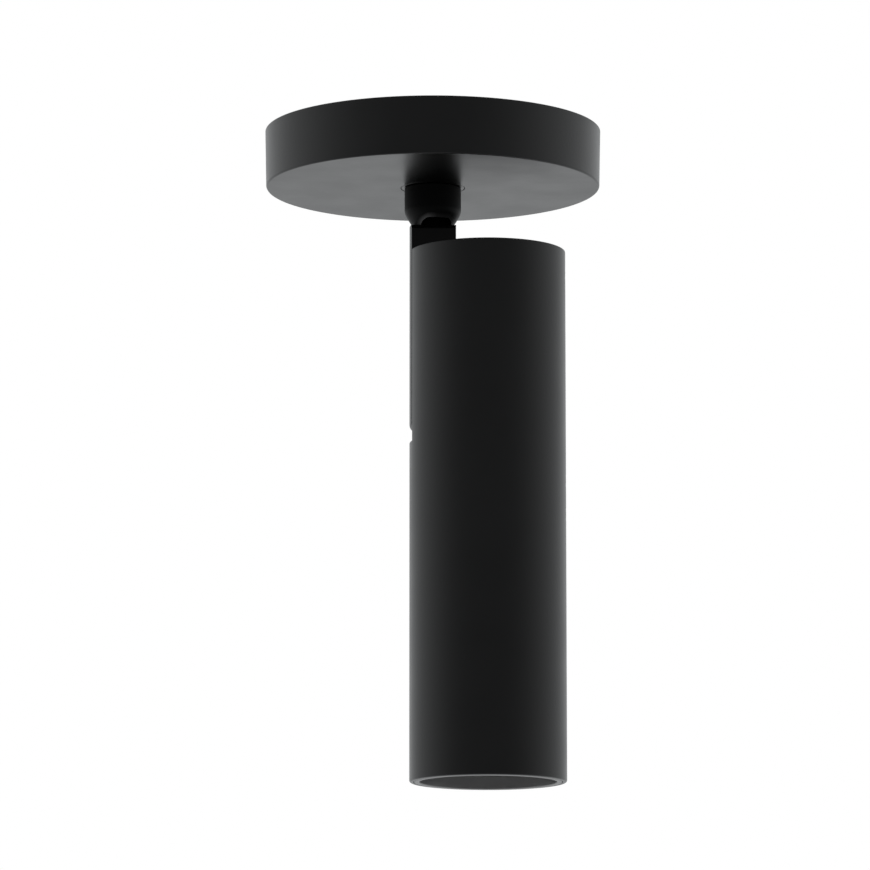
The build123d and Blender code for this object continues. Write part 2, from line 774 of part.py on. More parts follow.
def head_cable():
    # flexible stretch of the cable, out of the arm's window and down behind the arm
    first, second = cable_bend_drops
    return tube_along([(0, 0, -cable_straight_end), (0, 0, -cable_straight_end - first),
                       (cable_x, 0, -cable_straight_end - second), (cable_x, 0, sheath_end)],
                      cable_diameter / 2)


def lampholder_leads():
    turn_z = holder_top - holder_pocket_depth + core_diameter / 2 + core_lift
    end_x = tube_x - contact_width / 2
    leads = []
    for (x, y), (_, pin_y) in zip([core_places(cable_x)[i] for i in (2, 1)], pin_places()):
        leads.append(tube_along([(x, y, sheath_end), (x, y, turn_z),
                                 (end_x - core_end_run, pin_y, turn_z), (end_x, pin_y, turn_z)],
                                core_diameter / 2))
    return leads


def head_earth_lead():
    x, y = core_places(cable_x)[0]
    height = plate_top + core_diameter / 2 + core_lift
    return tube_along([(x, y, sheath_end), (x, y, height),
                       (plate_earth_x - lug_eye_radius, 0, height)], core_diameter / 2)


def head_earth_lug():
    # ring terminal: a flat eye, and a crimped barrel round the earth core's end
    barrel_end = plate_earth_x - lug_eye_radius
    barrel_start = barrel_end - lug_barrel_length
    height = plate_top + core_diameter / 2 + core_lift
    lug = rod(lug_eye_radius, plate_top, plate_top + lug_sheet, plate_earth_x)
    lug += brick(barrel_start, plate_earth_x, lug_neck_width / 2, plate_top,
                 plate_top + lug_sheet)
    lug += rod_along_x(core_diameter / 2 + lug_barrel_wall, barrel_start, barrel_end, 0, height)
    lug -= rod_along_x(core_diameter / 2 + fit_clearance, barrel_start, barrel_end, 0, height)
    return lug - rod(web_screw_diameter / 2 + fit_clearance, plate_top, plate_top + lug_sheet,
                     plate_earth_x)


def head_earth_screw():
    return slotted_screw(web_screw_diameter, web_screw_head, holder_top - web_screw_tip,
                         plate_top + lug_sheet, plate_earth_x)


# ---- lamp and ring ----

def lamp_body():
    half = lamp_diameter / 2
    front_top = lamp_front + lamp_front_height
    base_low = lamp_top - lamp_base_height
    waist_low = base_low - lamp_waist_height / 3
    recess = lens_thickness + lens_recess
    outline = [(0, lamp_front + recess), (lens_diameter / 2 + lens_gap, lamp_front + recess),
               (lens_diameter / 2 + lens_gap, lamp_front), (half, lamp_front), (half, front_top),
               (half - lamp_rim_chamfer, front_top + lamp_rim_chamfer),
               (lamp_waist_diameter / 2 + lamp_neck_swell, waist_low - lamp_neck_drop),
               (lamp_waist_diameter / 2, waist_low), (lamp_base_diameter / 2, base_low),
               (lamp_base_diameter / 2, lamp_top), (0, lamp_top)]
    return turned(outline, tube_x)


def lamp_lens():
    low = lamp_front + lens_recess
    return rod(lens_diameter / 2, low, low + lens_thickness, tube_x)


def lamp_pins():
    pins = []
    for x, y in pin_places():
        pin = rod(pin_diameter / 2, lamp_top, lamp_top + pin_length, x, y)
        pins.append(pin + rod(pin_head_diameter / 2, lamp_top + pin_length - pin_head_height,
                              lamp_top + pin_length, x, y))
    return pins


def snap_groove(gap):
    # square ring space round the retaining ring's middle, with gap left round the snap ring
    outer = tube_inner - ring_gap
    middle = tube_bottom + ring_height / 2
    half = snap_ring_section / 2 + gap
    inner = outer - snap_ring_section - gap
    return rod(outer, middle - half, middle + half, tube_x) - rod(inner, middle - half,
                                                                  middle + half, tube_x)


def retaining_ring():
    ring = rod(tube_inner - ring_gap, tube_bottom, ring_top, tube_x) - rod(
        tube_inner - ring_gap - ring_wall, tube_bottom, ring_top, tube_x)
    rims = ring.edges().filter_by(GeomType.CIRCLE).group_by(Axis.Z)[0]
    return chamfer(rims, ring_edge_chamfer) - snap_groove(fit_clearance)


def ring_snap_ring():
    # open ring of square wire that sits in the groove and springs out against the tube's wall
    half_opening = snap_ring_opening / 2
    middle = tube_bottom + ring_height / 2
    opening = Pos(tube_x + tube_inner, 0, middle) * Box(snap_ring_cut_depth, 2 * half_opening,
                                                        ring_height / 2)
    return snap_groove(0.0) - opening


root_body = [canopy_cover, ceiling_bracket, canopy_grub_screws, terminal_block, terminal_clamps,
             terminal_screws, terminal_fixing_screw, earth_washer, earth_screw, connection_leads,
             swivel_bush, stop_pin]
pan_body = [neck_sleeve, threaded_nipple, pan_washer, stop_washer, pan_nut, arm, arm_cable]
head_body = [tube_housing, top_cap, lampholder_plate, housing_screws, hinge_bracket,
             bracket_screws, friction_washers, hinge_washer, hinge_bolt, hinge_nut, lampholder,
             lampholder_contacts, lampholder_screws, head_cable, lampholder_leads,
             head_earth_lead, head_earth_lug, head_earth_screw, lamp_body, lamp_lens, lamp_pins,
             retaining_ring, ring_snap_ring]

os.makedirs("parts", exist_ok=True)
for make in root_body + pan_body + head_body:
    made = make()
    solids = made if isinstance(made, list) else [made]
    flat = [solid for item in solids for solid in item.solids()]
    part = flat[0] if len(flat) == 1 else Compound(children=flat)
    part.label = make.__name__
    export_step(part, f"parts/{make.__name__}.step")

washer_and_pin = asin((stop_tab_width + stop_pin_diameter) / 2 / stop_pin_circle)
print("pan stop at about", round(180 - degrees(washer_and_pin), 1), "degrees each way")
print("arm end sweeps a radius of", round(hypot(arm_width / 2, arm_tail), 2))
print("tube bottom at", round(tube_bottom, 2), "pivot at", round(pivot_z, 2))
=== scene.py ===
import json
import math

import bmesh
import bpy
import numpy as np
from mathutils import Matrix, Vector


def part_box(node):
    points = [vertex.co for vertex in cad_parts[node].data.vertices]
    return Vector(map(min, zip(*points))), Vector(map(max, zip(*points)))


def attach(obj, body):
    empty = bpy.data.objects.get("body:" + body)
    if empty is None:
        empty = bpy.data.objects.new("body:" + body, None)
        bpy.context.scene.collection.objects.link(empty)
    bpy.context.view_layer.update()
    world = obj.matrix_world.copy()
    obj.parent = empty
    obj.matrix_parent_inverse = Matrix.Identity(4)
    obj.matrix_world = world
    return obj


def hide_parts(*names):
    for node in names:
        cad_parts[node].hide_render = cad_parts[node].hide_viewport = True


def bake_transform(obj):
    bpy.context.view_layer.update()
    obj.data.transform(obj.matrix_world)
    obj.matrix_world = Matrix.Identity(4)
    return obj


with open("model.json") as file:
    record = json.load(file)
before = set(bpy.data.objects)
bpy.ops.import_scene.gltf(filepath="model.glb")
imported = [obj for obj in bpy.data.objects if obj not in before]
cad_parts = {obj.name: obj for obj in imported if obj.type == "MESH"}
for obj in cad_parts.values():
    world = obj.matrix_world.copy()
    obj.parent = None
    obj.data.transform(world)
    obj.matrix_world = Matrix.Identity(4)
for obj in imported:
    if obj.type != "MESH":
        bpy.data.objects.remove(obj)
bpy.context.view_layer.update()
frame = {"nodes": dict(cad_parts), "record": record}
nodes = frame["nodes"]
mm = 0.001

# Surface mounted ceiling spotlight: satin black canopy, short neck, flush arm, slotted tube head.
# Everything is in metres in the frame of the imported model, with the ceiling face at z = 0.

meshCare = {"weld": 2e-6, "tiny": 1e-7, "sharpAngle": 32, "broadFaces": 100, "sameNormal": 0.001}


def gridQuads(rows, cols, closeRows=False, closeCols=False):
    # quads of a rows by cols grid of points, joined round where a direction is closed
    i, j = np.meshgrid(np.arange(rows - (not closeRows)), np.arange(cols - (not closeCols)),
                       indexing="ij")
    iNext, jNext = (i + 1) % rows, (j + 1) % cols
    return np.stack([i * cols + j, i * cols + jNext, iNext * cols + jNext, iNext * cols + j],
                    -1).reshape(-1, 4)


def makeMesh(name, points, quads, extraFaces=(), cornerUv=None):
    # one mesh from an array of points and an array of quads, doubles merged and faces turned out
    points = np.asarray(points, np.float32).reshape(-1, 3)
    mesh = bpy.data.meshes.new(name)
    faces = quads.tolist() + [list(face) for face in extraFaces]
    mesh.from_pydata(points.tolist(), [], faces)
    if cornerUv is not None:
        layer = mesh.uv_layers.new(name="along")
        flat = np.zeros((len(mesh.loops), 2), np.float32)
        flat[:quads.size] = np.asarray(cornerUv).reshape(-1, 2)
        layer.data.foreach_set("uv", flat.ravel())
    cleanMesh(mesh)
    return mesh


def cleanMesh(mesh, sharpAngle=meshCare["sharpAngle"], merge=meshCare["weld"]):
    # doubles merged, empty faces and bare edges taken out, faces turned out, sharp edges marked
    work = bmesh.new()
    work.from_mesh(mesh)
    bmesh.ops.remove_doubles(work, verts=work.verts, dist=merge)
    bmesh.ops.dissolve_degenerate(work, edges=work.edges, dist=meshCare["tiny"])
    bare = [edge for edge in work.edges if edge.is_wire]
    bmesh.ops.delete(work, geom=bare, context="EDGES")
    bmesh.ops.recalc_face_normals(work, faces=work.faces)
    work.to_mesh(mesh)
    work.free()
    mesh.shade_smooth()
    mesh.set_sharp_from_angle(angle=math.radians(sharpAngle))


def makePiece(name, mesh, body, node, slotName, finish=None):
    # the mesh as a piece that rides on its body and stands for its node; its finish has the
    # slot's name unless another one is given
    piece = bpy.data.objects.new(name, mesh)
    bpy.context.scene.collection.objects.link(piece)
    mesh.materials.clear()
    mesh.materials.append(finishes[finish or slotName])
    if body:
        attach(piece, body)
    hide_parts(node)
    return piece


def evenShade(piece):
    # broad faces keep their own normal beside their rounded edges
    shade = piece.modifiers.new("shade", "WEIGHTED_NORMAL")
    shade.weight = meshCare["broadFaces"]
    shade.thresh = meshCare["sameNormal"]
    shade.keep_sharp = True


def roundedOutline(corners, radii, steps=6):
    # closed outline with an arc at each corner: it leaves the incoming side one tangent length
    # before the corner and turns by cos and sin about a centre one radius to the inner side
    p = np.asarray(corners, float)
    r = np.broadcast_to(np.asarray(radii, float), len(p))[:, None]
    before, after = p - np.roll(p, 1, 0), np.roll(p, -1, 0) - p
    before /= np.linalg.norm(before, axis=1)[:, None]
    after /= np.linalg.norm(after, axis=1)[:, None]
    turn = np.arctan2(before[:, 0] * after[:, 1] - before[:, 1] * after[:, 0],
                      (before * after).sum(1))
    start = p - before * r * np.tan(abs(turn) / 2)[:, None]
    inward = np.sign(turn)[:, None] * np.stack([-before[:, 1], before[:, 0]], 1)
    phi = (np.linspace(0, 1, steps)[None] * abs(turn)[:, None])[..., None]
    arc = (start + inward * r)[:, None] + r[:, None] * (
        before[:, None] * np.sin(phi) - inward[:, None] * np.cos(phi))
    return arc.reshape(-1, 2)


def denser(outline, step):
    # the outline again, with points no further apart than the step
    joined = np.vstack([outline, outline[:1]])
    length = np.r_[0, np.cumsum(np.linalg.norm(np.diff(joined, axis=0), axis=1))]
    extra = np.linspace(0, length[-1], int(length[-1] / step), endpoint=False)
    places = np.unique(np.r_[length[:-1], extra])
    return np.stack([np.interp(places, length, joined[:, k]) for k in (0, 1)], -1)


def turnedPoints(outline, count, x=0.0):
    # a (radius, height) outline turned about an upright axis at x: x + r cos a, r sin a, z
    a = np.linspace(0, 2 * np.pi, count, endpoint=False)[:, None]
    r, z = outline[:, 0], outline[:, 1]
    return np.stack([x + r * np.cos(a), r * np.sin(a), z + 0 * a], -1)


def turnedMesh(name, outline, count, x=0.0):
    # closed outline turned right round the axis: a ring without ends
    points = turnedPoints(outline, count, x)
    return makeMesh(name, points, gridQuads(*points.shape[:2], True, True))


def turnedSize(node):
    # a turned node's lowest and highest height, and its axis' x and its radius: half its box's
    # sum along X and half its difference along Y
    low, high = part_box(node)
    return low.z, high.z, (low.x + high.x) / 2, (high.y - low.y) / 2


def alongX(points, x, y, z):
    # an upright form laid over so that its height runs along X from x
    return np.stack([x + points[..., 2], y + points[..., 1], z - points[..., 0]], -1)


def prismAlong(axis, outline, start, stop):
    # closed outline carried straight along X, Y or Z, with a face at each end; the outline's
    # coordinates are (y, z), (z, x) or (x, y)
    count = len(outline)
    ring = np.column_stack([np.zeros(count), outline])
    points = np.stack([ring + [start, 0, 0], ring + [stop, 0, 0]])
    points = np.roll(points, "XYZ".index(axis), axis=-1)
    return makeMesh("prism", points, gridQuads(2, count, False, True),
                    [np.arange(count), np.arange(count) + count])


def rectangle(lowU, lowV, highU, highV, radius=0.0, steps=7):
    # four corners in turn, each an arc of the radius where there is one
    corners = [(lowU, lowV), (highU, lowV), (highU, highV), (lowU, highV)]
    return roundedOutline(corners, radius, steps) if radius else np.array(corners)


def drill(radius, low, high, x=0.0, y=0.0, sink=0.0, columns=48, over=2 * mm):
    # upright round cutter that reaches past both ends, widened there by the sink at 45 degrees
    outline = np.array([(0, low - over), (radius + sink + over, low - over),
                        (radius, low + sink), (radius, high - sink),
                        (radius + sink + over, high + over), (0, high + over)])
    if not sink:
        outline[[1, 4], 0] = radius
    points = turnedPoints(outline, columns) + np.array([x, y, 0])
    return makeMesh("hole", points, gridQuads(*points.shape[:2], True, True))


def drillAlongX(radius, low, high, y, z, **more):
    # the same cutter laid over: its height runs along X
    cutter = drill(radius, low, high, **more)
    cutter.transform(Matrix.Translation((0, y, z)) @ Matrix.Rotation(math.pi / 2, 4, "Y"))
    return cutter


def cutFrom(mesh, cutters, added=()):
    # joins the added forms to the mesh one by one, then takes out the cutters' forms one by one,
    # because many at once leave gaps where they cross
    scene = bpy.context.scene
    steps = [("UNION", form) for form in added] + [("DIFFERENCE", form) for form in cutters]
    for operation, form in steps:
        base, tool = bpy.data.objects.new("cutBase", mesh), bpy.data.objects.new("cutTool", form)
        scene.collection.objects.link(base)
        scene.collection.objects.link(tool)
        cut = base.modifiers.new("cut", "BOOLEAN")
        cut.operation = operation
        cut.solver = "EXACT"
        cut.object = tool
        evaluated = base.evaluated_get(bpy.context.evaluated_depsgraph_get())
        mesh = bpy.data.meshes.new_from_object(evaluated)
        bpy.data.objects.remove(base)
        bpy.data.objects.remove(tool)
        cleanMesh(mesh)
    return mesh


def bevelled(mesh, width, angle=40, segments=3):
    # the mesh with its sharp edges rounded
    base = bpy.data.objects.new("bevelBase", mesh)
    bpy.context.scene.collection.objects.link(base)
    bevel = base.modifiers.new("round", "BEVEL")
    bevel.width = width
    bevel.segments = segments
    bevel.limit_method = "ANGLE"
    bevel.angle_limit = math.radians(angle)
    evaluated = base.evaluated_get(bpy.context.evaluated_depsgraph_get())
    result = bpy.data.meshes.new_from_object(evaluated)
    bpy.data.objects.remove(base)
    return result


def newMaterial(name, **constants):
    # Principled material whose sockets hold the given constants
    material = bpy.data.materials.new(name)
    material.use_nodes = True
    shader = material.node_tree.nodes["Principled BSDF"]
    for socket, value in constants.items():
        shader.inputs[socket.replace("_", " ")].default_value = value
    return material, material.node_tree, shader


def feed(tree, node, **inputs):
    # each named input linked to a socket or given a value
    for key, value in inputs.items():
        socket = node.inputs[key.replace("_", " ")]
        if isinstance(value, bpy.types.NodeSocket):
            tree.links.new(value, socket)
        else:
            socket.default_value = value


def addNode(tree, kind, settings=None, **inputs):
    # a node with its settings and its inputs
    node = tree.nodes.new(kind)
    for key, value in (settings or {}).items():
        setattr(node, key, value)
    feed(tree, node, **inputs)
    return node


def objectPlace(tree):
    # where a point is in the piece's own frame
    return tree.nodes.new("ShaderNodeTexCoord").outputs["Object"]


def noiseOf(tree, coordinates, scale, detail=3, stretch=(1, 1, 1)):
    # noise at the scale, drawn out where the stretch is below 1
    mapping = addNode(tree, "ShaderNodeMapping", Vector=coordinates, Scale=stretch)
    return addNode(tree, "ShaderNodeTexNoise", Vector=mapping.outputs["Vector"], Scale=scale,
                   Detail=detail).outputs["Fac"]


def rangeOf(tree, value, low, high, fromLow=0.3, fromHigh=0.7):
    # low + (high - low) * (value - fromLow) / (fromHigh - fromLow), held between the two
    return addNode(tree, "ShaderNodeMapRange", Value=value, From_Min=fromLow, From_Max=fromHigh,
                   To_Min=low, To_Max=high).outputs["Result"]


def colourOf(tree, value, dark, light, fromLow=0.3, fromHigh=0.7):
    # the same range from one colour to another
    ramp = tree.nodes.new("ShaderNodeValToRGB")
    ramp.color_ramp.elements[0].position = fromLow
    ramp.color_ramp.elements[0].color = (*dark, 1)
    ramp.color_ramp.elements[1].position = fromHigh
    ramp.color_ramp.elements[1].color = (*light, 1)
    tree.links.new(value, ramp.inputs["Fac"])
    return ramp.outputs["Color"]


def bumpOf(tree, height, strength, distance, under=None):
    # normal that follows the height, laid over another one where there is one
    bump = addNode(tree, "ShaderNodeBump", Height=height, Strength=strength, Distance=distance)
    if under is not None:
        tree.links.new(under, bump.inputs["Normal"])
    return bump.outputs["Normal"]


def shadesOf(colour, share):
    # the colour less and plus a share of itself
    return [c * (1 - share) for c in colour], [c * (1 + share) for c in colour]


powderCoat = {"peelScale": 850, "peelDepth": 0.016 * mm, "grainScale": 4200,
              "grainDepth": 0.004 * mm, "mottleScale": 60, "mottleShare": 0.15,
              "glossDrift": 0.02}


def makeCoat(name, colour, ior, roughness, peel=1.0):
    # powder coat: soft orange peel, a finer grain on it, and gloss that drifts a little
    s = powderCoat
    material, tree, shader = newMaterial(name, IOR=ior)
    place = objectPlace(tree)
    mottle = noiseOf(tree, place, s["mottleScale"], detail=4)
    soft = bumpOf(tree, noiseOf(tree, place, s["peelScale"], detail=2), peel, s["peelDepth"])
    fine = bumpOf(tree, noiseOf(tree, place, s["grainScale"], detail=2), peel, s["grainDepth"],
                  soft)
    gloss = rangeOf(tree, mottle, roughness - s["glossDrift"], roughness + s["glossDrift"])
    feed(tree, shader, Base_Color=colourOf(tree, mottle, *shadesOf(colour, s["mottleShare"])),
         Roughness=gloss, Normal=fine)
    return material


sheetZinc = {"cloudScale": 180, "cloudDark": 0.82, "rolledScale": 900,
             "rolledStretch": (0.06, 1, 1), "smoother": 0.06, "rougher": 0.09,
             "grainStrength": 0.6, "grainDepth": 0.01 * mm}


def makeSheetZinc(name, colour, roughness):
    # bright zinc plated sheet: faint rolled grain and cloudy patches
    s = sheetZinc
    material, tree, shader = newMaterial(name, Metallic=1.0)
    place = objectPlace(tree)
    cloud = noiseOf(tree, place, s["cloudScale"], detail=4)
    rolled = noiseOf(tree, place, s["rolledScale"], stretch=s["rolledStretch"])
    feed(tree, shader,
         Base_Color=colourOf(tree, cloud, [c * s["cloudDark"] for c in colour], colour),
         Roughness=rangeOf(tree, rolled, roughness - s["smoother"], roughness + s["rougher"]),
         Normal=bumpOf(tree, rolled, s["grainStrength"], s["grainDepth"]))
    return material


turnedMetal = {"spotScale": 420, "spotDark": 0.8, "spotDull": 0.1, "markScale": 5200,
               "markStrength": 0.5, "markDepth": 0.006 * mm}


def makeTurnedMetal(name, colour, roughness):
    # plated turned steel or brass: fine tool marks and dulled spots
    s = turnedMetal
    material, tree, shader = newMaterial(name, Metallic=1.0)
    place = objectPlace(tree)
    spots = noiseOf(tree, place, s["spotScale"], detail=4)
    marks = noiseOf(tree, place, s["markScale"], detail=2)
    feed(tree, shader,
         Base_Color=colourOf(tree, spots, [c * s["spotDark"] for c in colour], colour),
         Roughness=rangeOf(tree, spots, roughness + s["spotDull"], roughness),
         Normal=bumpOf(tree, marks, s["markStrength"], s["markDepth"]))
    return material


moulding = {"slowScale": 130, "slowDark": 0.93, "smoother": 0.04, "rougher": 0.05,
            "grainStrength": 0.6, "throughRadius": (1.0, 0.9, 0.75), "throughScale": 0.6 * mm}


def makeMoulded(name, colour, roughness, ior=1.5, grain=2600, depth=0.008, through=0.0):
    # moulded or fired material: fine even grain, gloss that varies slowly
    s = moulding
    material, tree, shader = newMaterial(
        name, IOR=ior, Subsurface_Weight=through, Subsurface_Radius=s["throughRadius"],
        Subsurface_Scale=s["throughScale"])
    place = objectPlace(tree)
    slow = noiseOf(tree, place, s["slowScale"])
    fine = noiseOf(tree, place, grain, detail=2)
    feed(tree, shader,
         Base_Color=colourOf(tree, slow, [c * s["slowDark"] for c in colour], colour),
         Roughness=rangeOf(tree, slow, roughness - s["smoother"], roughness + s["rougher"]),
         Normal=bumpOf(tree, fine, s["grainStrength"], depth * mm))
    return material


earthCore = {"green": (0.03, 0.22, 0.04), "yellow": (0.72, 0.6, 0.03), "turnsEachMetre": 18.0,
             "edge": (0.49, 0.51), "ior": 1.42, "roughness": 0.48, "grainScale": 2400,
             "grainStrength": 0.5, "grainDepth": 0.008 * mm}


def makeEarthCore(name):
    # green core with a yellow stripe that winds slowly round it: u plus a share of v, wrapped
    s = earthCore
    material, tree, shader = newMaterial(name, IOR=s["ior"], Roughness=s["roughness"])
    uv = tree.nodes.new("ShaderNodeUVMap")
    uv.uv_map = "along"
    parts = addNode(tree, "ShaderNodeSeparateXYZ", Vector=uv.outputs["UV"])
    wound = addNode(tree, "ShaderNodeMath", {"operation": "MULTIPLY_ADD"})
    tree.links.new(parts.outputs["Y"], wound.inputs[0])
    wound.inputs[1].default_value = s["turnsEachMetre"]
    tree.links.new(parts.outputs["X"], wound.inputs[2])
    wrapped = addNode(tree, "ShaderNodeMath", {"operation": "FRACT"})
    tree.links.new(wound.outputs["Value"], wrapped.inputs[0])
    grain = noiseOf(tree, objectPlace(tree), s["grainScale"], detail=2)
    feed(tree, shader,
         Base_Color=colourOf(tree, wrapped.outputs["Value"], s["green"], s["yellow"], *s["edge"]),
         Normal=bumpOf(tree, grain, s["grainStrength"], s["grainDepth"]))
    return material


frostedLens = {"ior": 1.58, "through": 0.35, "hazeScale": 900, "hazeDrift": 0.05,
               "hazeStrength": 0.4, "hazeDepth": 0.01 * mm}


def makeLens(name, colour, roughness):
    # frosted polycarbonate that lets part of the light through
    s = frostedLens
    material, tree, shader = newMaterial(name, IOR=s["ior"], Transmission_Weight=s["through"],
                                         Base_Color=(*colour, 1))
    haze = noiseOf(tree, objectPlace(tree), s["hazeScale"])
    feed(tree, shader,
         Roughness=rangeOf(tree, haze, roughness - s["hazeDrift"], roughness + s["hazeDrift"]),
         Normal=bumpOf(tree, haze, s["hazeStrength"], s["hazeDepth"]))
    return material


finishes = {
    "black_coat": makeCoat("blackCoat", (0.0018, 0.0018, 0.0019), 1.39, 0.34),
    # arm and neck coats: darker, duller copies of the black coat, as painted shade under the
    # canopy
    "black_coat_arm": makeCoat("blackCoatArm", (0.0014, 0.0014, 0.0015), 1.27, 0.34, 0.6),
    "neck_coat": makeCoat("blackCoatNeck", (0.0014, 0.0014, 0.0015), 1.17, 0.42, 0.6),
    # near-black, almost glossless coat for the inside of the neck's notch: painted shade
    "notch_painted_shade": makeCoat("notchPaintedShade", (0.0006, 0.0006, 0.0006), 1.06, 0.8, 1.5),
    "black_ring": makeCoat("blackRing", (0.018, 0.018, 0.0184), 2.5, 0.43, 0.6),
    "black_inside": makeCoat("blackInside", (0.012, 0.012, 0.0125), 1.4, 0.55, 1.2),
    "zinc_steel": makeSheetZinc("zincSheet", (0.62, 0.63, 0.62), 0.3),
    "plated_steel": makeTurnedMetal("platedSteel", (0.66, 0.66, 0.65), 0.24),
    "black_steel": makeMoulded("blackOxide", (0.008, 0.008, 0.0085), 0.33, 1.5, 3800),
    "nylon_black": makeMoulded("blackNylon", (0.012, 0.012, 0.0125), 0.5, 1.45),
    "nylon_white": makeMoulded("naturalNylon", (0.78, 0.77, 0.72), 0.42, 1.5, 2200, 0.01, 0.15),
    "brass": makeTurnedMetal("brightBrass", (0.78, 0.6, 0.28), 0.28),
    "ceramic": makeMoulded("steatite", (0.84, 0.82, 0.77), 0.3, 1.55, 1500, 0.012),
    "cable_sheath": makeMoulded("siliconeSheath", (0.022, 0.022, 0.023), 0.55, 1.42, 1800, 0.012),
    "core_insulation": makeMoulded("brownCore", (0.16, 0.07, 0.03), 0.48, 1.42, 2400),
    "blue_core": makeMoulded("blueCore", (0.02, 0.09, 0.36), 0.48, 1.42, 2400),
    "earth_insulation": makeEarthCore("earthCore"),
    "lamp_shell": makeMoulded("lampWhite", (0.8, 0.8, 0.79), 0.38, 1.5, 1800),
    "lamp_glass": makeLens("lampLens", (0.95, 0.955, 0.95), 0.22),
}

for part in frame["record"]["subparts"]:
    for materialSlot in nodes[part["node"]].material_slots:
        materialSlot.material = finishes[part["material_slot"]]
print("finishes", len(finishes))

# edge rounding of the CAD nodes that stay in view, in mm
softEdges = {"terminal_screws": 0.1, "terminal_clamps": 0.1, "stop_pin": 0.2, "stop_washer": 0.12,
             "pan_washer": 0.15, "swivel_bush": 0.15, "earth_screw": 0.12, "hinge_bracket": 0.2,
             "top_cap": 0.2, "lampholder_plate": 0.15, "lampholder": 0.5, "hinge_bolt": 0.15,
             "friction_washers": 0.1, "arm": 0.15}
softening = {"flatAngle": 0.5, "sharpAngle": 38, "segments": 2, "broadFaces": 90}


def softenEdges():
    # loose triangles joined, flat faces merged, then sharp edges rounded over two segments
    s = softening
    for node, width in softEdges.items():
        item = nodes[node]
        join = item.modifiers.new("join", "WELD")
        join.merge_threshold = meshCare["weld"]
        flat = item.modifiers.new("flat", "DECIMATE")
        flat.decimate_type = "DISSOLVE"
        flat.angle_limit = math.radians(s["flatAngle"])
        bevel = item.modifiers.new("round", "BEVEL")
        bevel.width = width * mm
        bevel.segments = s["segments"]
        bevel.limit_method = "ANGLE"
        bevel.angle_limit = math.radians(s["sharpAngle"])
        shade = item.modifiers.new("shade", "WEIGHTED_NORMAL")
        shade.weight = s["broadFaces"]


softenEdges()
print("soft edges", len(softEdges))


canopyShape = {"draft": 0.4 * mm, "wall": 1.5 * mm, "lowerRound": 0.7 * mm, "rimRound": 0.25 * mm,
               "innerRound": 1.2 * mm, "bushRadius": 11.4 * mm, "holeGap": 0.12 * mm,
               "holeRound": 0.12 * mm, "screwHole": 2.05 * mm, "screwDrop": 10 * mm,
               "drillReach": 4 * mm, "holeColumns": 40, "columns": 240}


def makeCanopy():
    # the wall's outline turned about the neck's axis, with a hole in each side for a grub screw
    s = canopyShape
    low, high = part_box("canopy_cover")
    hole = s["bushRadius"] + s["holeGap"]
    corners = [(hole, low.z), (high.x - s["draft"], low.z), (high.x, 0),
               (high.x - s["wall"], 0), (high.x - s["wall"] - s["draft"], low.z + s["wall"]),
               (hole, low.z + s["wall"])]
    radii = [s["holeRound"], s["lowerRound"], s["rimRound"], s["rimRound"], s["innerRound"],
             s["holeRound"]]
    mesh = turnedMesh("canopyShell", roundedOutline(corners, radii), s["columns"])
    cutters = []
    for side in (-1, 1):
        cutters.append(drillAlongX(s["screwHole"], side * high.x - s["drillReach"],
                                   side * high.x + s["drillReach"], 0, -s["screwDrop"],
                                   columns=s["holeColumns"]))
    evenShade(makePiece("canopyShell", cutFrom(mesh, cutters), "canopy", "canopy_cover",
                        "black_coat"))


makeCanopy()
print("canopy")


bracketShape = {"sheet": 1.5 * mm, "bend": 2.1 * mm, "tabWidth": 16 * mm, "neckIn": 5.5 * mm,
                "slotLength": 12 * mm, "slotWidth": 4.5 * mm, "slotSpacing": 80 * mm,
                "cableHole": 8 * mm, "fixingHole": (1.5 * mm, 22 * mm, 4 * mm),
                "earthHole": (2.05 * mm, -22 * mm, 0.0), "grubHole": 2.05 * mm,
                "grubDrop": 10 * mm, "edgeRound": 0.14 * mm, "cornerRound": 0.6 * mm,
                "pastSide": 1.2, "slotEndShare": 0.999, "cableColumns": 96}


def makeBracket():
    # the sheet's side view with bent corners, carried across its width; the corners beside the
    # tabs, the slots and the holes are cut out of it
    s = bracketShape
    low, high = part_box("ceiling_bracket")
    reach, drop, t = high.x, low.z, s["sheet"]
    side = roundedOutline([(-reach, drop), (-reach + t, drop), (-reach + t, -t),
                           (reach - t, -t), (reach - t, drop), (reach, drop), (reach, 0),
                           (-reach, 0)],
                          [0, 0, s["bend"] - t, s["bend"] - t, 0, 0, s["bend"], s["bend"]],
                          steps=8)
    sheet = prismAlong("Y", side[:, ::-1], low.y, high.y)
    cutters = []
    half = s["tabWidth"] / 2
    for end in (-1, 1):
        near, far = end * (reach - s["neckIn"]), end * (reach + t)
        for flank in (-1, 1):
            u = sorted((near, far))
            v = sorted((flank * half, flank * high.y * s["pastSide"]))
            cutters.append(prismAlong("Z", rectangle(u[0], v[0], u[1], v[1], s["cornerRound"]),
                                      drop - t, t))
        middle, halfLong = end * s["slotSpacing"] / 2, s["slotLength"] / 2
        halfWide = s["slotWidth"] / 2
        slot = rectangle(middle - halfLong, -halfWide, middle + halfLong, halfWide,
                         halfWide * s["slotEndShare"])
        cutters.append(prismAlong("Z", slot, -2 * t, t))
        ends = sorted((end * (reach - 2 * t), end * (reach + t)))
        cutters.append(drillAlongX(s["grubHole"], *ends, 0, -s["grubDrop"]))
    cutters.append(drill(s["cableHole"], -2 * t, t, columns=s["cableColumns"]))
    for radius, x, y in (s["fixingHole"], s["earthHole"]):
        cutters.append(drill(radius, -2 * t, t, x, y))
    mesh = bevelled(cutFrom(sheet, cutters), s["edgeRound"])
    cleanMesh(mesh)
    evenShade(makePiece("ceilingBracket", mesh, "canopy", "ceiling_bracket", "zinc_steel"))


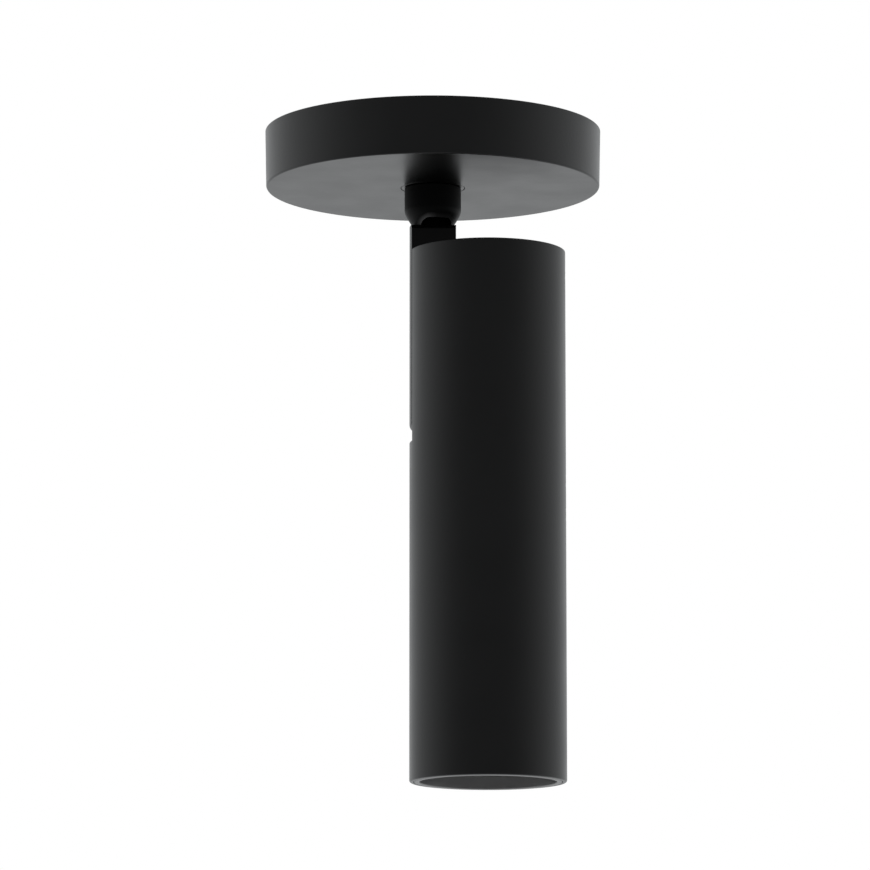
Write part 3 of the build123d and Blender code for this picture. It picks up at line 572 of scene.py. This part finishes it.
blockShape = {"pitch": 8 * mm, "base": 8.5 * mm, "tower": 2.8 * mm, "towerOffset": 4.2 * mm,
              "screwHole": 1.5 * mm, "clampHole": 2.25 * mm, "clampDrop": 4.9 * mm,
              "mouth": 0.5 * mm, "groove": 0.7 * mm, "cornerRound": 0.8 * mm,
              "towerRound": 0.3 * mm, "towerColumns": 40, "screwColumns": 32,
              "edgeRound": 0.22 * mm, "fixing": (1.5 * mm, 22 * mm, 4 * mm)}


def makeBlock():
    # moulded three pole block: a rounded bar carried along X, a turned tower for each screw, a
    # clamp hole along each pole and a groove between the poles
    s = blockShape
    low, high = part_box("terminal_block")
    foot = high.z - s["base"]
    bar = prismAlong("X", rectangle(low.y, foot, high.y, high.z, s["cornerRound"]), low.x, high.x)
    middle, height = (low.x + high.x) / 2, high.z - s["clampDrop"]
    towers, cutters = [], []
    tower = roundedOutline([(0, low.z), (s["tower"], low.z), (s["tower"], foot + mm),
                            (0, foot + mm)], [0, s["towerRound"], 0, 0])
    screwRing = turnedPoints(np.array([(s["screwHole"], 0)]), s["screwColumns"])[:, 0, :2]
    for y in (-s["pitch"], 0, s["pitch"]):
        for side in (-1, 1):
            x = middle + side * s["towerOffset"]
            points = turnedPoints(tower, s["towerColumns"]) + np.array([x, y, 0])
            towers.append(makeMesh("tower", points, gridQuads(*points.shape[:2], True, True)))
            cutters.append(prismAlong("Z", screwRing + [x, y], low.z - mm, height))
        cutters.append(drillAlongX(s["clampHole"], low.x, high.x, y, height, sink=s["mouth"]))
    for y in (-s["pitch"] / 2, s["pitch"] / 2):
        half = s["groove"] / 2
        for edge in (foot, high.z):
            groove = rectangle(y - half, edge - 2 * half, y + half, edge + 2 * half)
            cutters.append(prismAlong("X", groove, low.x - mm, high.x + mm))
    radius, x, y = s["fixing"]
    cutters.append(drill(radius, foot - mm, high.z + mm, x, y))
    mesh = bevelled(cutFrom(bar, cutters, towers), s["edgeRound"])
    cleanMesh(mesh)
    evenShade(makePiece("terminalBlock", mesh, "canopy", "terminal_block", "nylon_white"))


makeBracket()
makeBlock()
print("bracket and block")


neckShape = {"bore": 5.05 * mm, "boreRound": 0.1 * mm, "topRound": 0.3 * mm,
             "taperHeight": 5.0 * mm, "taperRound": 5.0 * mm, "endRadius": 6.95 * mm,
             "endRound": 0.5 * mm, "columns": 180, "rowStep": 0.3 * mm,
             "notchWidth": 11.1 * mm, "notchHeight": 2.4 * mm, "notchRound": 2.2 * mm,
             "notchWall": 0.6 * mm, "notchTurn": -75, "edgeRound": 0.16 * mm,
             "coreColumns": 96, "cutReach": 1.3, "insideDepth": 0.35 * mm,
             "wallMargin": 0.3 * mm, "footMargin": 0.05 * mm}
# painted highlight beside the neck's notch: width, lighter colour, strength left to right, front
notchPaintedGlint = {"width": 1.6 * mm, "colour": (0.056, 0.056, 0.057), "most": 1.0, "least": 0.2,
             "mostAt": -4.2 * mm, "leastAt": -0.8 * mm, "frontFrom": 1.0 * mm,
             "frontTo": 2.0 * mm}


def paintNotchGlint(material, bottom):
    # painted highlight beside the notch, lightest on its left, standing in for the glint of light
    # there: in the frame turned to face it, the length of max(|y, z| - straight half sides, 0)
    # grows from the corner radius outwards as the painted highlight fades
    s, glint = neckShape, notchPaintedGlint
    tree = material.node_tree
    base = tree.nodes["Principled BSDF"].inputs["Base Color"]
    coat = base.links[0].from_socket
    facing = addNode(tree, "ShaderNodeMapping", Vector=objectPlace(tree),
                     Location=(0, 0, -bottom), Rotation=(0, 0, -math.radians(s["notchTurn"])))
    value = facing.outputs["Vector"]
    straight = (0, s["notchWidth"] / 2 - s["notchRound"], s["notchHeight"] - s["notchRound"])
    for operation, other in (("ABSOLUTE", None), ("SUBTRACT", straight), ("MAXIMUM", (0, 0, 0)),
                             ("MULTIPLY", (0, 1, 1)), ("LENGTH", None)):
        step = addNode(tree, "ShaderNodeVectorMath", {"operation": operation})
        tree.links.new(value, step.inputs[0])
        if other:
            step.inputs[1].default_value = other
        value = step.outputs["Value" if operation == "LENGTH" else "Vector"]
    near = rangeOf(tree, value, 1, 0, s["notchRound"], s["notchRound"] + glint["width"])
    parts = addNode(tree, "ShaderNodeSeparateXYZ", Vector=facing.outputs["Vector"])
    front = rangeOf(tree, parts.outputs["X"], 0, 1, glint["frontFrom"], glint["frontTo"])
    side = rangeOf(tree, parts.outputs["Y"], glint["most"], glint["least"], glint["mostAt"],
                   glint["leastAt"])
    for factor in (front, side):
        product = addNode(tree, "ShaderNodeMath", {"operation": "MULTIPLY"})
        tree.links.new(near, product.inputs[0])
        tree.links.new(factor, product.inputs[1])
        near = product.outputs["Value"]
    # the painted highlight's lighter colour mixed over the coat's colour
    paintedGlint = addNode(tree, "ShaderNodeMix", {"data_type": "RGBA"})
    tree.links.new(near, paintedGlint.inputs["Factor"])
    tree.links.new(coat, paintedGlint.inputs["A"])
    paintedGlint.inputs["B"].default_value = (*glint["colour"], 1)
    tree.links.new(paintedGlint.outputs["Result"], base)


def makeNeck():
    # outline turned about the neck's axis; the notch is a rounded rectangle carried outwards,
    # less a round core that leaves an even wall, and its inner faces get near-black painted shade
    s = neckShape
    low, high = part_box("neck_sleeve")
    radius = (high.x - low.x) / 2
    taperTop = low.z + s["taperHeight"]
    profile = roundedOutline([(s["bore"], low.z), (s["endRadius"], low.z), (radius, taperTop),
                              (radius, high.z), (s["bore"], high.z)],
                             [s["boreRound"], s["endRound"], s["taperRound"], s["topRound"],
                              s["boreRound"]], steps=10)
    profile = denser(profile, s["rowStep"])
    w, h = s["notchWidth"] / 2, s["notchHeight"]
    arch = roundedOutline([(-w, -h), (w, -h), (w, h), (-w, h)], s["notchRound"], steps=9)
    core = drill(s["bore"] + s["notchWall"], low.z - 2 * h, low.z + 2 * h,
                 columns=s["coreColumns"])
    cutter = cutFrom(prismAlong("X", arch + [0, low.z], 0, s["cutReach"] * radius), [core])
    cutter.transform(Matrix.Rotation(math.radians(s["notchTurn"]), 4, "Z"))
    mesh = bevelled(cutFrom(turnedMesh("neckSleeve", profile, s["columns"]), [cutter]),
                    s["edgeRound"])
    cleanMesh(mesh, merge=meshCare["tiny"])  # a wider merge tears the notch's fine corners
    # painted highlight beside the notch, in the neck's coat
    paintNotchGlint(finishes["neck_coat"], low.z)
    piece = makePiece("neckSleeve", mesh, "neck_and_arm", "neck_sleeve", "black_coat_arm",
                      "neck_coat")
    # the notch's inner faces take the second material, painted shade for the shadow inside it
    mesh.materials.append(finishes["notch_painted_shade"])
    centres = np.zeros(len(mesh.polygons) * 3, np.float32)
    mesh.polygons.foreach_get("center", centres)
    x, y, z = centres.reshape(-1, 3).T
    reach = np.hypot(x, y)
    surface = np.interp(z, [low.z, taperTop], [s["endRadius"], radius])
    inside = (reach < surface - s["insideDepth"]) & (reach > s["bore"] + s["wallMargin"])
    inside &= (z > low.z + s["footMargin"]) & (z < low.z + h + s["footMargin"])
    mesh.polygons.foreach_set("material_index", inside.astype(np.int32))
    evenShade(piece)


tubeShape = {"wall": 1.5 * mm, "rimRound": 0.3 * mm, "mouthRound": 0.75 * mm,
             "mouthLift": 0.08 * mm, "slotHalf": 7.0 * mm, "slotEnd": -113.0 * mm,
             "edgeRound": 0.22 * mm, "columns": 200, "bridgeColumns": 11,
             "screwDrops": (-51.9 * mm, -126.8 * mm, -138.8 * mm), "screwHead": 2.85 * mm,
             "screwShaft": 1.55 * mm, "drillIn": 5 * mm, "drillOut": 2 * mm, "holeColumns": 48}


def makeTube():
    # wall outline (radius, height) carried round the axis; beside the slot the angle of each
    # point stops at pi - asin(half slot / radius), so that the slot's sides are flat and parallel
    s = tubeShape
    low, high, axis, outer = turnedSize("tube_housing")
    inner, rim, mouth = outer - s["wall"], s["rimRound"], low + s["mouthLift"]
    wall = roundedOutline([(inner, mouth), (outer, mouth), (outer, s["slotEnd"]), (outer, high),
                           (inner, high), (inner, s["slotEnd"])],
                          [rim, s["mouthRound"], 0, rim, rim, 0])
    atSlotEnd = np.isclose(wall[:, 1], s["slotEnd"])
    kneeOuter = np.flatnonzero(np.isclose(wall[:, 0], outer) & atSlotEnd)
    kneeInner = np.flatnonzero(np.isclose(wall[:, 0], inner) & atSlotEnd)
    r, z = wall[:, 0], wall[:, 1]
    share = np.linspace(-1, 1, s["columns"])[:, None]
    angle = share * (np.pi - np.arcsin(s["slotHalf"] / r))
    body = np.stack([axis + r * np.cos(angle), r * np.sin(angle), z + 0 * angle], -1)
    below = np.r_[np.arange(kneeInner[0], len(wall)), np.arange(0, kneeOuter[-1] + 1)]
    r, z = wall[below, 0], wall[below, 1]
    share = np.linspace(-1, 1, s["bridgeColumns"])[:, None]
    angle = np.pi + share * np.arcsin(s["slotHalf"] / r)
    bridge = np.stack([axis + r * np.cos(angle), r * np.sin(angle), z + 0 * angle], -1)
    offset = body.shape[0] * body.shape[1]
    above = np.arange(kneeOuter[-1], kneeInner[0] + 1)
    ends = [above, (body.shape[0] - 1) * body.shape[1] + above]
    points = np.concatenate([body.reshape(-1, 3), bridge.reshape(-1, 3)])
    quads = np.concatenate([gridQuads(*body.shape[:2], False, True),
                            gridQuads(*bridge.shape[:2], False, True) + offset])
    mesh = makeMesh("tubeShell", points, quads, ends)
    cutters = []
    face = axis + outer
    for height in s["screwDrops"]:
        head, shaft = s["screwHead"], s["screwShaft"]
        outline = np.array([(0, -s["drillIn"]), (shaft, -s["drillIn"]), (shaft, shaft - head),
                            (head, 0), (head, s["drillOut"]), (0, s["drillOut"])])
        points = alongX(turnedPoints(outline, s["holeColumns"]), face, 0, height)
        cutters.append(makeMesh("hole", points, gridQuads(*points.shape[:2], True, True)))
    evenShade(makePiece("tubeShell", cutFrom(bevelled(mesh, s["edgeRound"]), cutters), "head",
                        "tube_housing", "black_coat"))


makeNeck()
makeTube()
print("neck and tube")


ringShape = {"wall": 1.9 * mm, "lowerRound": 0.45 * mm, "upperRound": 0.25 * mm,
             "grooveHalf": 0.55 * mm, "grooveDepth": 1.05 * mm, "grooveRound": 0.05 * mm,
             "columns": 220}


def makeRing():
    # turned band with eased rims and, halfway up its outside, the groove of the snap ring
    s = ringShape
    low, high, axis, outer = turnedSize("retaining_ring")
    inner, groove, middle = outer - s["wall"], outer - s["grooveDepth"], (low + high) / 2
    half = s["grooveHalf"]
    corners = [(inner, low), (outer, low), (outer, middle - half), (groove, middle - half),
               (groove, middle + half), (outer, middle + half), (outer, high), (inner, high)]
    radii = [s["lowerRound"]] * 2 + [s["grooveRound"]] * 4 + [s["upperRound"]] * 2
    mesh = turnedMesh("retainingRing", roundedOutline(corners, radii), s["columns"], axis)
    evenShade(makePiece("retainingRing", mesh, "head", "retaining_ring", "black_ring"))


makeRing()
print("ring")


cableShape = {"radius": 2.7 * mm, "rings": 60, "sides": 28, "straight": 3 * mm,
              "swing": 26 * mm, "bendFrom": -78 * mm, "bendTo": -118 * mm}


def makeTubeAlong(name, path, radius, sides):
    # circle of the radius set square to the path at each of its points; u runs round it from 0
    # to 1 and v along it in metres
    along = np.gradient(path, axis=0)
    along /= np.linalg.norm(along, axis=1)[:, None]
    across = np.cross(along, [0.0, 1.0, 0.001])  # just off Y, which a path may follow
    across /= np.linalg.norm(across, axis=1)[:, None]
    beside = np.cross(across, along)
    a = np.linspace(0, 2 * np.pi, sides, endpoint=False)[None, :, None]
    points = path[:, None] + radius * (across[:, None] * np.cos(a) + beside[:, None] * np.sin(a))
    ends = [np.arange(sides), np.arange(sides) + (len(path) - 1) * sides]
    length = np.r_[0, np.cumsum(np.linalg.norm(np.diff(path, axis=0), axis=1))]
    ring, side = np.meshgrid(np.arange(len(path) - 1), np.arange(sides), indexing="ij")
    u = np.stack([side, side + 1, side + 1, side], -1) / sides
    v = length[np.stack([ring, ring, ring + 1, ring + 1], -1)]
    return makeMesh(name, points, gridQuads(len(path), sides, False, True), ends,
                    np.stack([u, v], -1))


def makeHeadCable():
    # x grows from the arm's bore to the cable's place behind the arm by a smooth step of height
    s = cableShape
    low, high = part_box("head_cable")
    x = high.x - s["radius"]
    z = np.linspace(high.z, low.z, s["rings"])
    t = np.clip((high.z - s["straight"] - z) / s["swing"], 0, 1)
    path = np.stack([x * t * t * (3 - 2 * t), 0 * z, z], -1)
    mesh = makeTubeAlong("headCable", path, s["radius"], s["sides"])
    piece = makePiece("headCable", mesh, None, "head_cable", "cable_sheath")
    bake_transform(piece)


makeHeadCable()

coreShape = {"radius": 1.1 * mm, "rings": 26, "sides": 18}
# cores: node they stand for, body, finish, slot and the control points of each bend, in mm
cores = {
    "leadBlue": ("connection_leads", "canopy", "blue_core", "core_insulation",
                 [(-0.68, -1.17, -14), (-0.68, -1.17, -3.2), (4, -8, -6.6), (17.5, -8, -6.4)]),
    "leadBrown": ("connection_leads", "canopy", "core_insulation", "core_insulation",
                  [(-0.68, 1.17, -14), (-0.68, 1.17, -3.2), (4, 8, -6.6), (17.5, 8, -6.4)]),
    "leadEarth": ("connection_leads", "canopy", "earth_insulation", "core_insulation",
                  [(1.35, 0, -14), (1.35, 0, -2.6), (5, 0, -6.4), (17.5, 0, -6.4)]),
    "holderBlue": ("lampholder_leads", "head", "blue_core", "core_insulation",
                   [(12.33, -1.17, -138.2), (12.33, -1.17, -157.5), (12, -4, -151.6),
                    (17.5, -5, -151.6)]),
    "holderBrown": ("lampholder_leads", "head", "core_insulation", "core_insulation",
                    [(12.33, 1.17, -138.2), (12.33, 1.17, -157.5), (12, 4, -151.6),
                     (17.5, 5, -151.6)]),
    "headEarth": ("head_earth_lead", "head", "earth_insulation", "earth_insulation",
                  [(14.35, 0, -138.2), (14.35, 0, -147.5), (20, 0, -144.15), (34, 0, -144.15)]),
}


def makeCores():
    # cubic curve of four control points: (1-t)^3 a + 3t(1-t)^2 b + 3t^2(1-t) c + t^3 d
    s = coreShape
    t = np.linspace(0, 1, s["rings"])[:, None]
    weights = np.hstack([(1 - t) ** 3, 3 * t * (1 - t) ** 2, 3 * t * t * (1 - t), t ** 3])
    for name, (node, body, finish, slotName, control) in cores.items():
        mesh = makeTubeAlong(name, weights @ np.array(control) * mm, s["radius"], s["sides"])
        makePiece(name, mesh, body, node, slotName, finish)


makeCores()
print("cable and cores")


lampShape = {"lensRadius": 22.7 * mm, "recess": 2.8 * mm, "rimHeight": 6 * mm,
             "shoulderShare": 0.94, "shoulderRise": 1.5 * mm,
             "cheek": (17.5 * mm, 26.33 * mm), "waist": (15 * mm, 18.33 * mm),
             "base": (12 * mm, 11 * mm), "rounds": (0, 0.2, 0.3, 0.6, 0.5, 0.6, 8, 5, 1, 0.6, 0),
             "roundSteps": 7, "rowStep": 0.8 * mm, "ribs": 22, "ribDepth": 2.2 * mm,
             "ribLow": 8.5 * mm, "ribHigh": 36 * mm, "ribFade": 8, "ribSquare": 2.2,
             "ribClear": 10 * mm, "columns": 22 * 14}


def lampOutline(front, top, radius):
    # rim, cheek and neck of a reflector lamp, from the lens seat round to the base's top; cheek,
    # waist and base give a radius and how far below the top it is
    s = lampShape
    cheek, waist, base = [(r, top - drop) for r, drop in (s["cheek"], s["waist"], s["base"])]
    corners = [(0, front + s["recess"]), (s["lensRadius"], front + s["recess"]),
               (s["lensRadius"], front), (radius, front), (radius, front + s["rimHeight"]),
               (s["shoulderShare"] * radius, front + s["rimHeight"] + s["shoulderRise"]),
               cheek, waist, base, (base[0], top), (0, top)]
    return roundedOutline(corners, np.array(s["rounds"]) * mm, s["roundSteps"])


def makeLampBody():
    # turned outline whose middle is ribbed: radius less a groove that follows cos(ribs * angle),
    # squared off, and fades out at both ends of the ribs
    s = lampShape
    low, high, axis, radius = turnedSize("lamp_body")
    outline = denser(lampOutline(low, high, radius), s["rowStep"])
    a = np.linspace(0, 2 * np.pi, s["columns"], endpoint=False)[:, None]
    r, z = outline[:, 0][None], outline[:, 1][None]
    inRibs = (z - low - s["ribLow"]) / (s["ribHigh"] - s["ribLow"])
    fade = np.clip(inRibs * s["ribFade"], 0, 1) * np.clip((1 - inRibs) * s["ribFade"], 0, 1)
    groove = np.clip(0.5 + s["ribSquare"] * np.cos(s["ribs"] * a), 0, 1)
    r = r - s["ribDepth"] * groove * fade * (r > s["ribClear"])
    points = np.stack([axis + r * np.cos(a), r * np.sin(a), z + 0 * a], -1)
    mesh = makeMesh("lampBody", points, gridQuads(*points.shape[:2], True, True))
    makePiece("lampBody", mesh, "head", "lamp_body", "lamp_shell")


lensShape = {"pitch": 3.1 * mm, "depth": 0.45 * mm, "rings": 46, "columns": 200,
             "edge": 1.6 * mm, "edgeStep": 0.1 * mm}


def makeLampLens():
    # disc whose lower face is a field of lenslets: height = depth * (1 - |cos cos|) by x and y
    s = lensShape
    low, high, axis, radius = turnedSize("lamp_lens")
    field = radius - s["edge"]
    r = np.r_[np.linspace(0, field, s["rings"]), field + s["edgeStep"], radius, radius, 0]
    a = np.linspace(0, 2 * np.pi, s["columns"], endpoint=False)[:, None]
    x, y = r * np.cos(a), r * np.sin(a)
    lenslet = abs(np.cos(np.pi * x / s["pitch"]) * np.cos(np.pi * y / s["pitch"]))
    inField = np.r_[np.ones(s["rings"]), np.zeros(4)]
    lift = s["depth"] * (1 - lenslet) * inField
    level = np.r_[np.full(s["rings"] + 2, low), high, high]
    points = np.stack([axis + x, y, level + lift], -1)
    mesh = makeMesh("lampLens", points, gridQuads(*points.shape[:2], True, False))
    makePiece("lampLens", mesh, "head", "lamp_lens", "lamp_glass")


makeLampBody()
makeLampLens()
print("lamp")


threadShape = {"pitch": 1.0 * mm, "depth": 0.55 * mm, "columns": 64, "rowsEachTurn": 8,
               "bore": 3.5 * mm, "fadeTurns": 0.5, "keyFlat": 4.2 * mm, "keyHalf": 1.0 * mm,
               "keyLow": -17.4 * mm, "keyCosine": 0.5}


def makeNipple():
    # radius less a triangle wave of (height / pitch - angle), fading over the last half turn;
    # the keyway is a flat across the thread on the +X side
    s = threadShape
    low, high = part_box("threaded_nipple")
    outer = high.y
    rows = int((high.z - low.z) / s["pitch"] * s["rowsEachTurn"])
    z = np.linspace(low.z, high.z, rows)[None]
    a = np.linspace(0, 2 * np.pi, s["columns"], endpoint=False)[:, None]
    wave = abs(((z / s["pitch"] - a / (2 * np.pi)) % 1) * 2 - 1)
    ends = np.clip(np.minimum(z - low.z, high.z - z) / (s["fadeTurns"] * s["pitch"]), 0, 1)
    r = outer - s["depth"] * (wave * ends + (1 - ends))
    inKey = (abs(np.sin(a) * outer) < s["keyHalf"]) & (np.cos(a) > 0) & (z > s["keyLow"])
    r = np.where(inKey, np.minimum(r, s["keyFlat"] / abs(np.cos(a)).clip(s["keyCosine"])), r)
    r = np.hstack([r, np.full((s["columns"], 2), s["bore"])])
    z = np.hstack([z + 0 * a, np.tile([high.z, low.z], (s["columns"], 1))])
    points = np.stack([r * np.cos(a), r * np.sin(a), z], -1)
    mesh = makeMesh("threadedNipple", points, gridQuads(*points.shape[:2], True, True))
    makePiece("threadedNipple", mesh, "neck_and_arm", "threaded_nipple", "plated_steel")


nutShape = {"seatShare": 0.475, "rimShare": 0.7, "coneAngle": 30, "coneColumns": 96,
            "boreSink": 0.35 * mm, "panBore": 5.05 * mm, "hingeBore": 2.05 * mm,
            "edgeRound": 0.07 * mm, "roundFrom": 25, "sharpAngle": 20}


def nutMesh(width, height, bore, place):
    # hexagonal prism with flats to +X and -X, less a ring under a cone at each face and the
    # thread's hole, widened at both ends
    s = nutShape
    a = np.arange(6) * np.pi / 3 + np.pi / 6
    corner = width / 2 / np.cos(np.pi / 6)
    prism = prismAlong("Z", np.stack([corner * np.cos(a), corner * np.sin(a)], -1), 0, height)
    seat, rim = s["seatShare"] * width, s["rimShare"] * width
    rise = (rim - seat) * math.tan(math.radians(s["coneAngle"]))
    lower = np.array([(seat, -mm), (rim, -mm), (rim, rise), (seat, 0)])
    upper = np.column_stack([lower[:, 0], height - lower[:, 1]])
    cutters = [turnedMesh("cone", side, s["coneColumns"]) for side in (lower, upper)]
    cutters.append(drill(bore, 0, height, sink=s["boreSink"]))
    mesh = bevelled(cutFrom(prism, cutters), s["edgeRound"], s["roundFrom"])
    mesh.transform(place)
    cleanMesh(mesh, s["sharpAngle"])
    return mesh


def makeNuts():
    # the neck's nut stands upright on its low face, the hinge's nut is laid over along Y
    low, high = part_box("pan_nut")
    mesh = nutMesh(high.x - low.x, high.z - low.z, nutShape["panBore"],
                   Matrix.Translation((0, 0, low.z)))
    evenShade(makePiece("panNut", mesh, "neck_and_arm", "pan_nut", "plated_steel"))
    low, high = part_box("hinge_nut")
    place = Matrix.Translation((0, low.y, (low.z + high.z) / 2))
    mesh = nutMesh(high.x - low.x, high.y - low.y, nutShape["hingeBore"],
                   place @ Matrix.Rotation(-math.pi / 2, 4, "X"))
    evenShade(makePiece("hingeNut", mesh, "head", "hinge_nut", "plated_steel"))


makeNipple()
makeNuts()
print("threads and nuts")


floorShape = {"height": -2.3, "half": 60.0, "colour": (0.9, 0.9, 0.9), "roughness": 0.8,
              "cloudScale": 0.7, "cloudDark": 0.985, "fadeFrom": 3.0, "fadeTo": 11.0}


def makeFloor():
    # pale floor that runs out into the white of the studio with the distance from the object
    s = floorShape
    h, z = s["half"], s["height"]
    mesh = bpy.data.meshes.new("floor")
    mesh.from_pydata([(-h, -h, z), (h, -h, z), (h, h, z), (-h, h, z)], [], [(0, 1, 2, 3)])
    floor = bpy.data.objects.new("floor", mesh)
    bpy.context.scene.collection.objects.link(floor)
    material, tree, shader = newMaterial("paleFloor", Roughness=s["roughness"])
    place = objectPlace(tree)
    shade = colourOf(tree, noiseOf(tree, place, s["cloudScale"]),
                     [c * s["cloudDark"] for c in s["colour"]], s["colour"])
    tree.links.new(shade, shader.inputs["Base Color"])
    distance = addNode(tree, "ShaderNodeVectorMath", {"operation": "LENGTH"})
    tree.links.new(place, distance.inputs[0])
    fade = rangeOf(tree, distance.outputs["Value"], 0.0, 1.0, s["fadeFrom"], s["fadeTo"])
    seen = addNode(tree, "ShaderNodeMath", {"operation": "MULTIPLY"})
    tree.links.new(fade, seen.inputs[0])
    tree.links.new(tree.nodes.new("ShaderNodeLightPath").outputs["Is Camera Ray"], seen.inputs[1])
    mix = addNode(tree, "ShaderNodeMixShader", Fac=seen.outputs["Value"])
    tree.links.new(shader.outputs["BSDF"], mix.inputs[1])
    tree.links.new(tree.nodes.new("ShaderNodeEmission").outputs["Emission"], mix.inputs[2])
    tree.links.new(mix.outputs["Shader"], tree.nodes["Material Output"].inputs["Surface"])
    mesh.materials.append(material)
    floor.visible_glossy = False


studio = {"dimSide": (0, -0.987, -0.16), "dimFrom": -0.3, "dimTo": 0.9, "brightGloss": 0.94,
          "dimGloss": 0.28, "soft": 0.72, "glossTint": (0.976, 1.0, 1.012)}


def makeWorld():
    # white to the camera and through glass; in gloss the studio is white, dimmer to its front
    s = studio
    world = bpy.data.worlds.new("studio")
    bpy.context.scene.world = world
    world.use_nodes = True
    tree = world.node_tree
    tree.nodes.clear()
    ray = tree.nodes.new("ShaderNodeLightPath")
    direction = tree.nodes.new("ShaderNodeTexCoord").outputs["Generated"]
    facing = addNode(tree, "ShaderNodeVectorMath", {"operation": "DOT_PRODUCT"})
    tree.links.new(direction, facing.inputs[0])
    facing.inputs[1].default_value = s["dimSide"]
    gloss = addNode(tree, "ShaderNodeMapRange", {"interpolation_type": "SMOOTHSTEP"},
                    Value=facing.outputs["Value"], From_Min=s["dimFrom"], From_Max=s["dimTo"],
                    To_Min=s["brightGloss"], To_Max=s["dimGloss"])
    soft = addNode(tree, "ShaderNodeMix", {"data_type": "FLOAT"}, A=s["soft"],
                   Factor=ray.outputs["Is Glossy Ray"], B=gloss.outputs["Result"])
    clear = addNode(tree, "ShaderNodeMath", {"operation": "MAXIMUM"})
    tree.links.new(ray.outputs["Is Camera Ray"], clear.inputs[0])
    tree.links.new(ray.outputs["Is Transmission Ray"], clear.inputs[1])
    level = addNode(tree, "ShaderNodeMix", {"data_type": "FLOAT"}, Factor=clear.outputs["Value"],
                    A=soft.outputs["Result"], B=1.0)
    tint = addNode(tree, "ShaderNodeMix", {"data_type": "RGBA"})
    tree.links.new(ray.outputs["Is Glossy Ray"], tint.inputs["Factor"])
    tint.inputs["A"].default_value = (1, 1, 1, 1)
    tint.inputs["B"].default_value = (*s["glossTint"], 1)
    back = addNode(tree, "ShaderNodeBackground", Strength=level.outputs["Result"],
                   Color=tint.outputs["Result"])
    out = tree.nodes.new("ShaderNodeOutputWorld")
    tree.links.new(back.outputs["Background"], out.inputs["Surface"])


keyLight = {"turn": (0.75, 0.0, -0.6), "spread": 70, "strength": 1.1}


def makeKeyLight():
    # one wide soft sun from above on the left; the rest of the light is the studio's own
    s = keyLight
    light = bpy.data.lights.new("key", "SUN")
    light.angle = math.radians(s["spread"])
    light.energy = s["strength"]
    lamp = bpy.data.objects.new("key", light)
    bpy.context.scene.collection.objects.link(lamp)
    lamp.rotation_euler = s["turn"]
    lamp.visible_glossy = False


photoView = {"lens": 231.8, "sensor": 36.0, "place": (0.00079, -1.9642, -0.4322),
             "rise": 0.1626, "near": 0.05, "far": 200}


def makeCamera():
    # level camera in front of the spotlight, below it and turned up by the rise
    s = photoView
    camera = bpy.data.cameras.new("camera")
    camera.lens = s["lens"]
    camera.sensor_width = s["sensor"]
    camera.clip_start = s["near"]
    camera.clip_end = s["far"]
    holder = bpy.data.objects.new("camera", camera)
    bpy.context.scene.collection.objects.link(holder)
    holder.location = s["place"]
    holder.rotation_euler = (math.pi / 2 + s["rise"], 0, 0)
    bpy.context.scene.camera = holder


makeFloor()
makeWorld()
makeKeyLight()
makeCamera()
bpy.context.scene.view_settings.view_transform = "Standard"
print("stage")
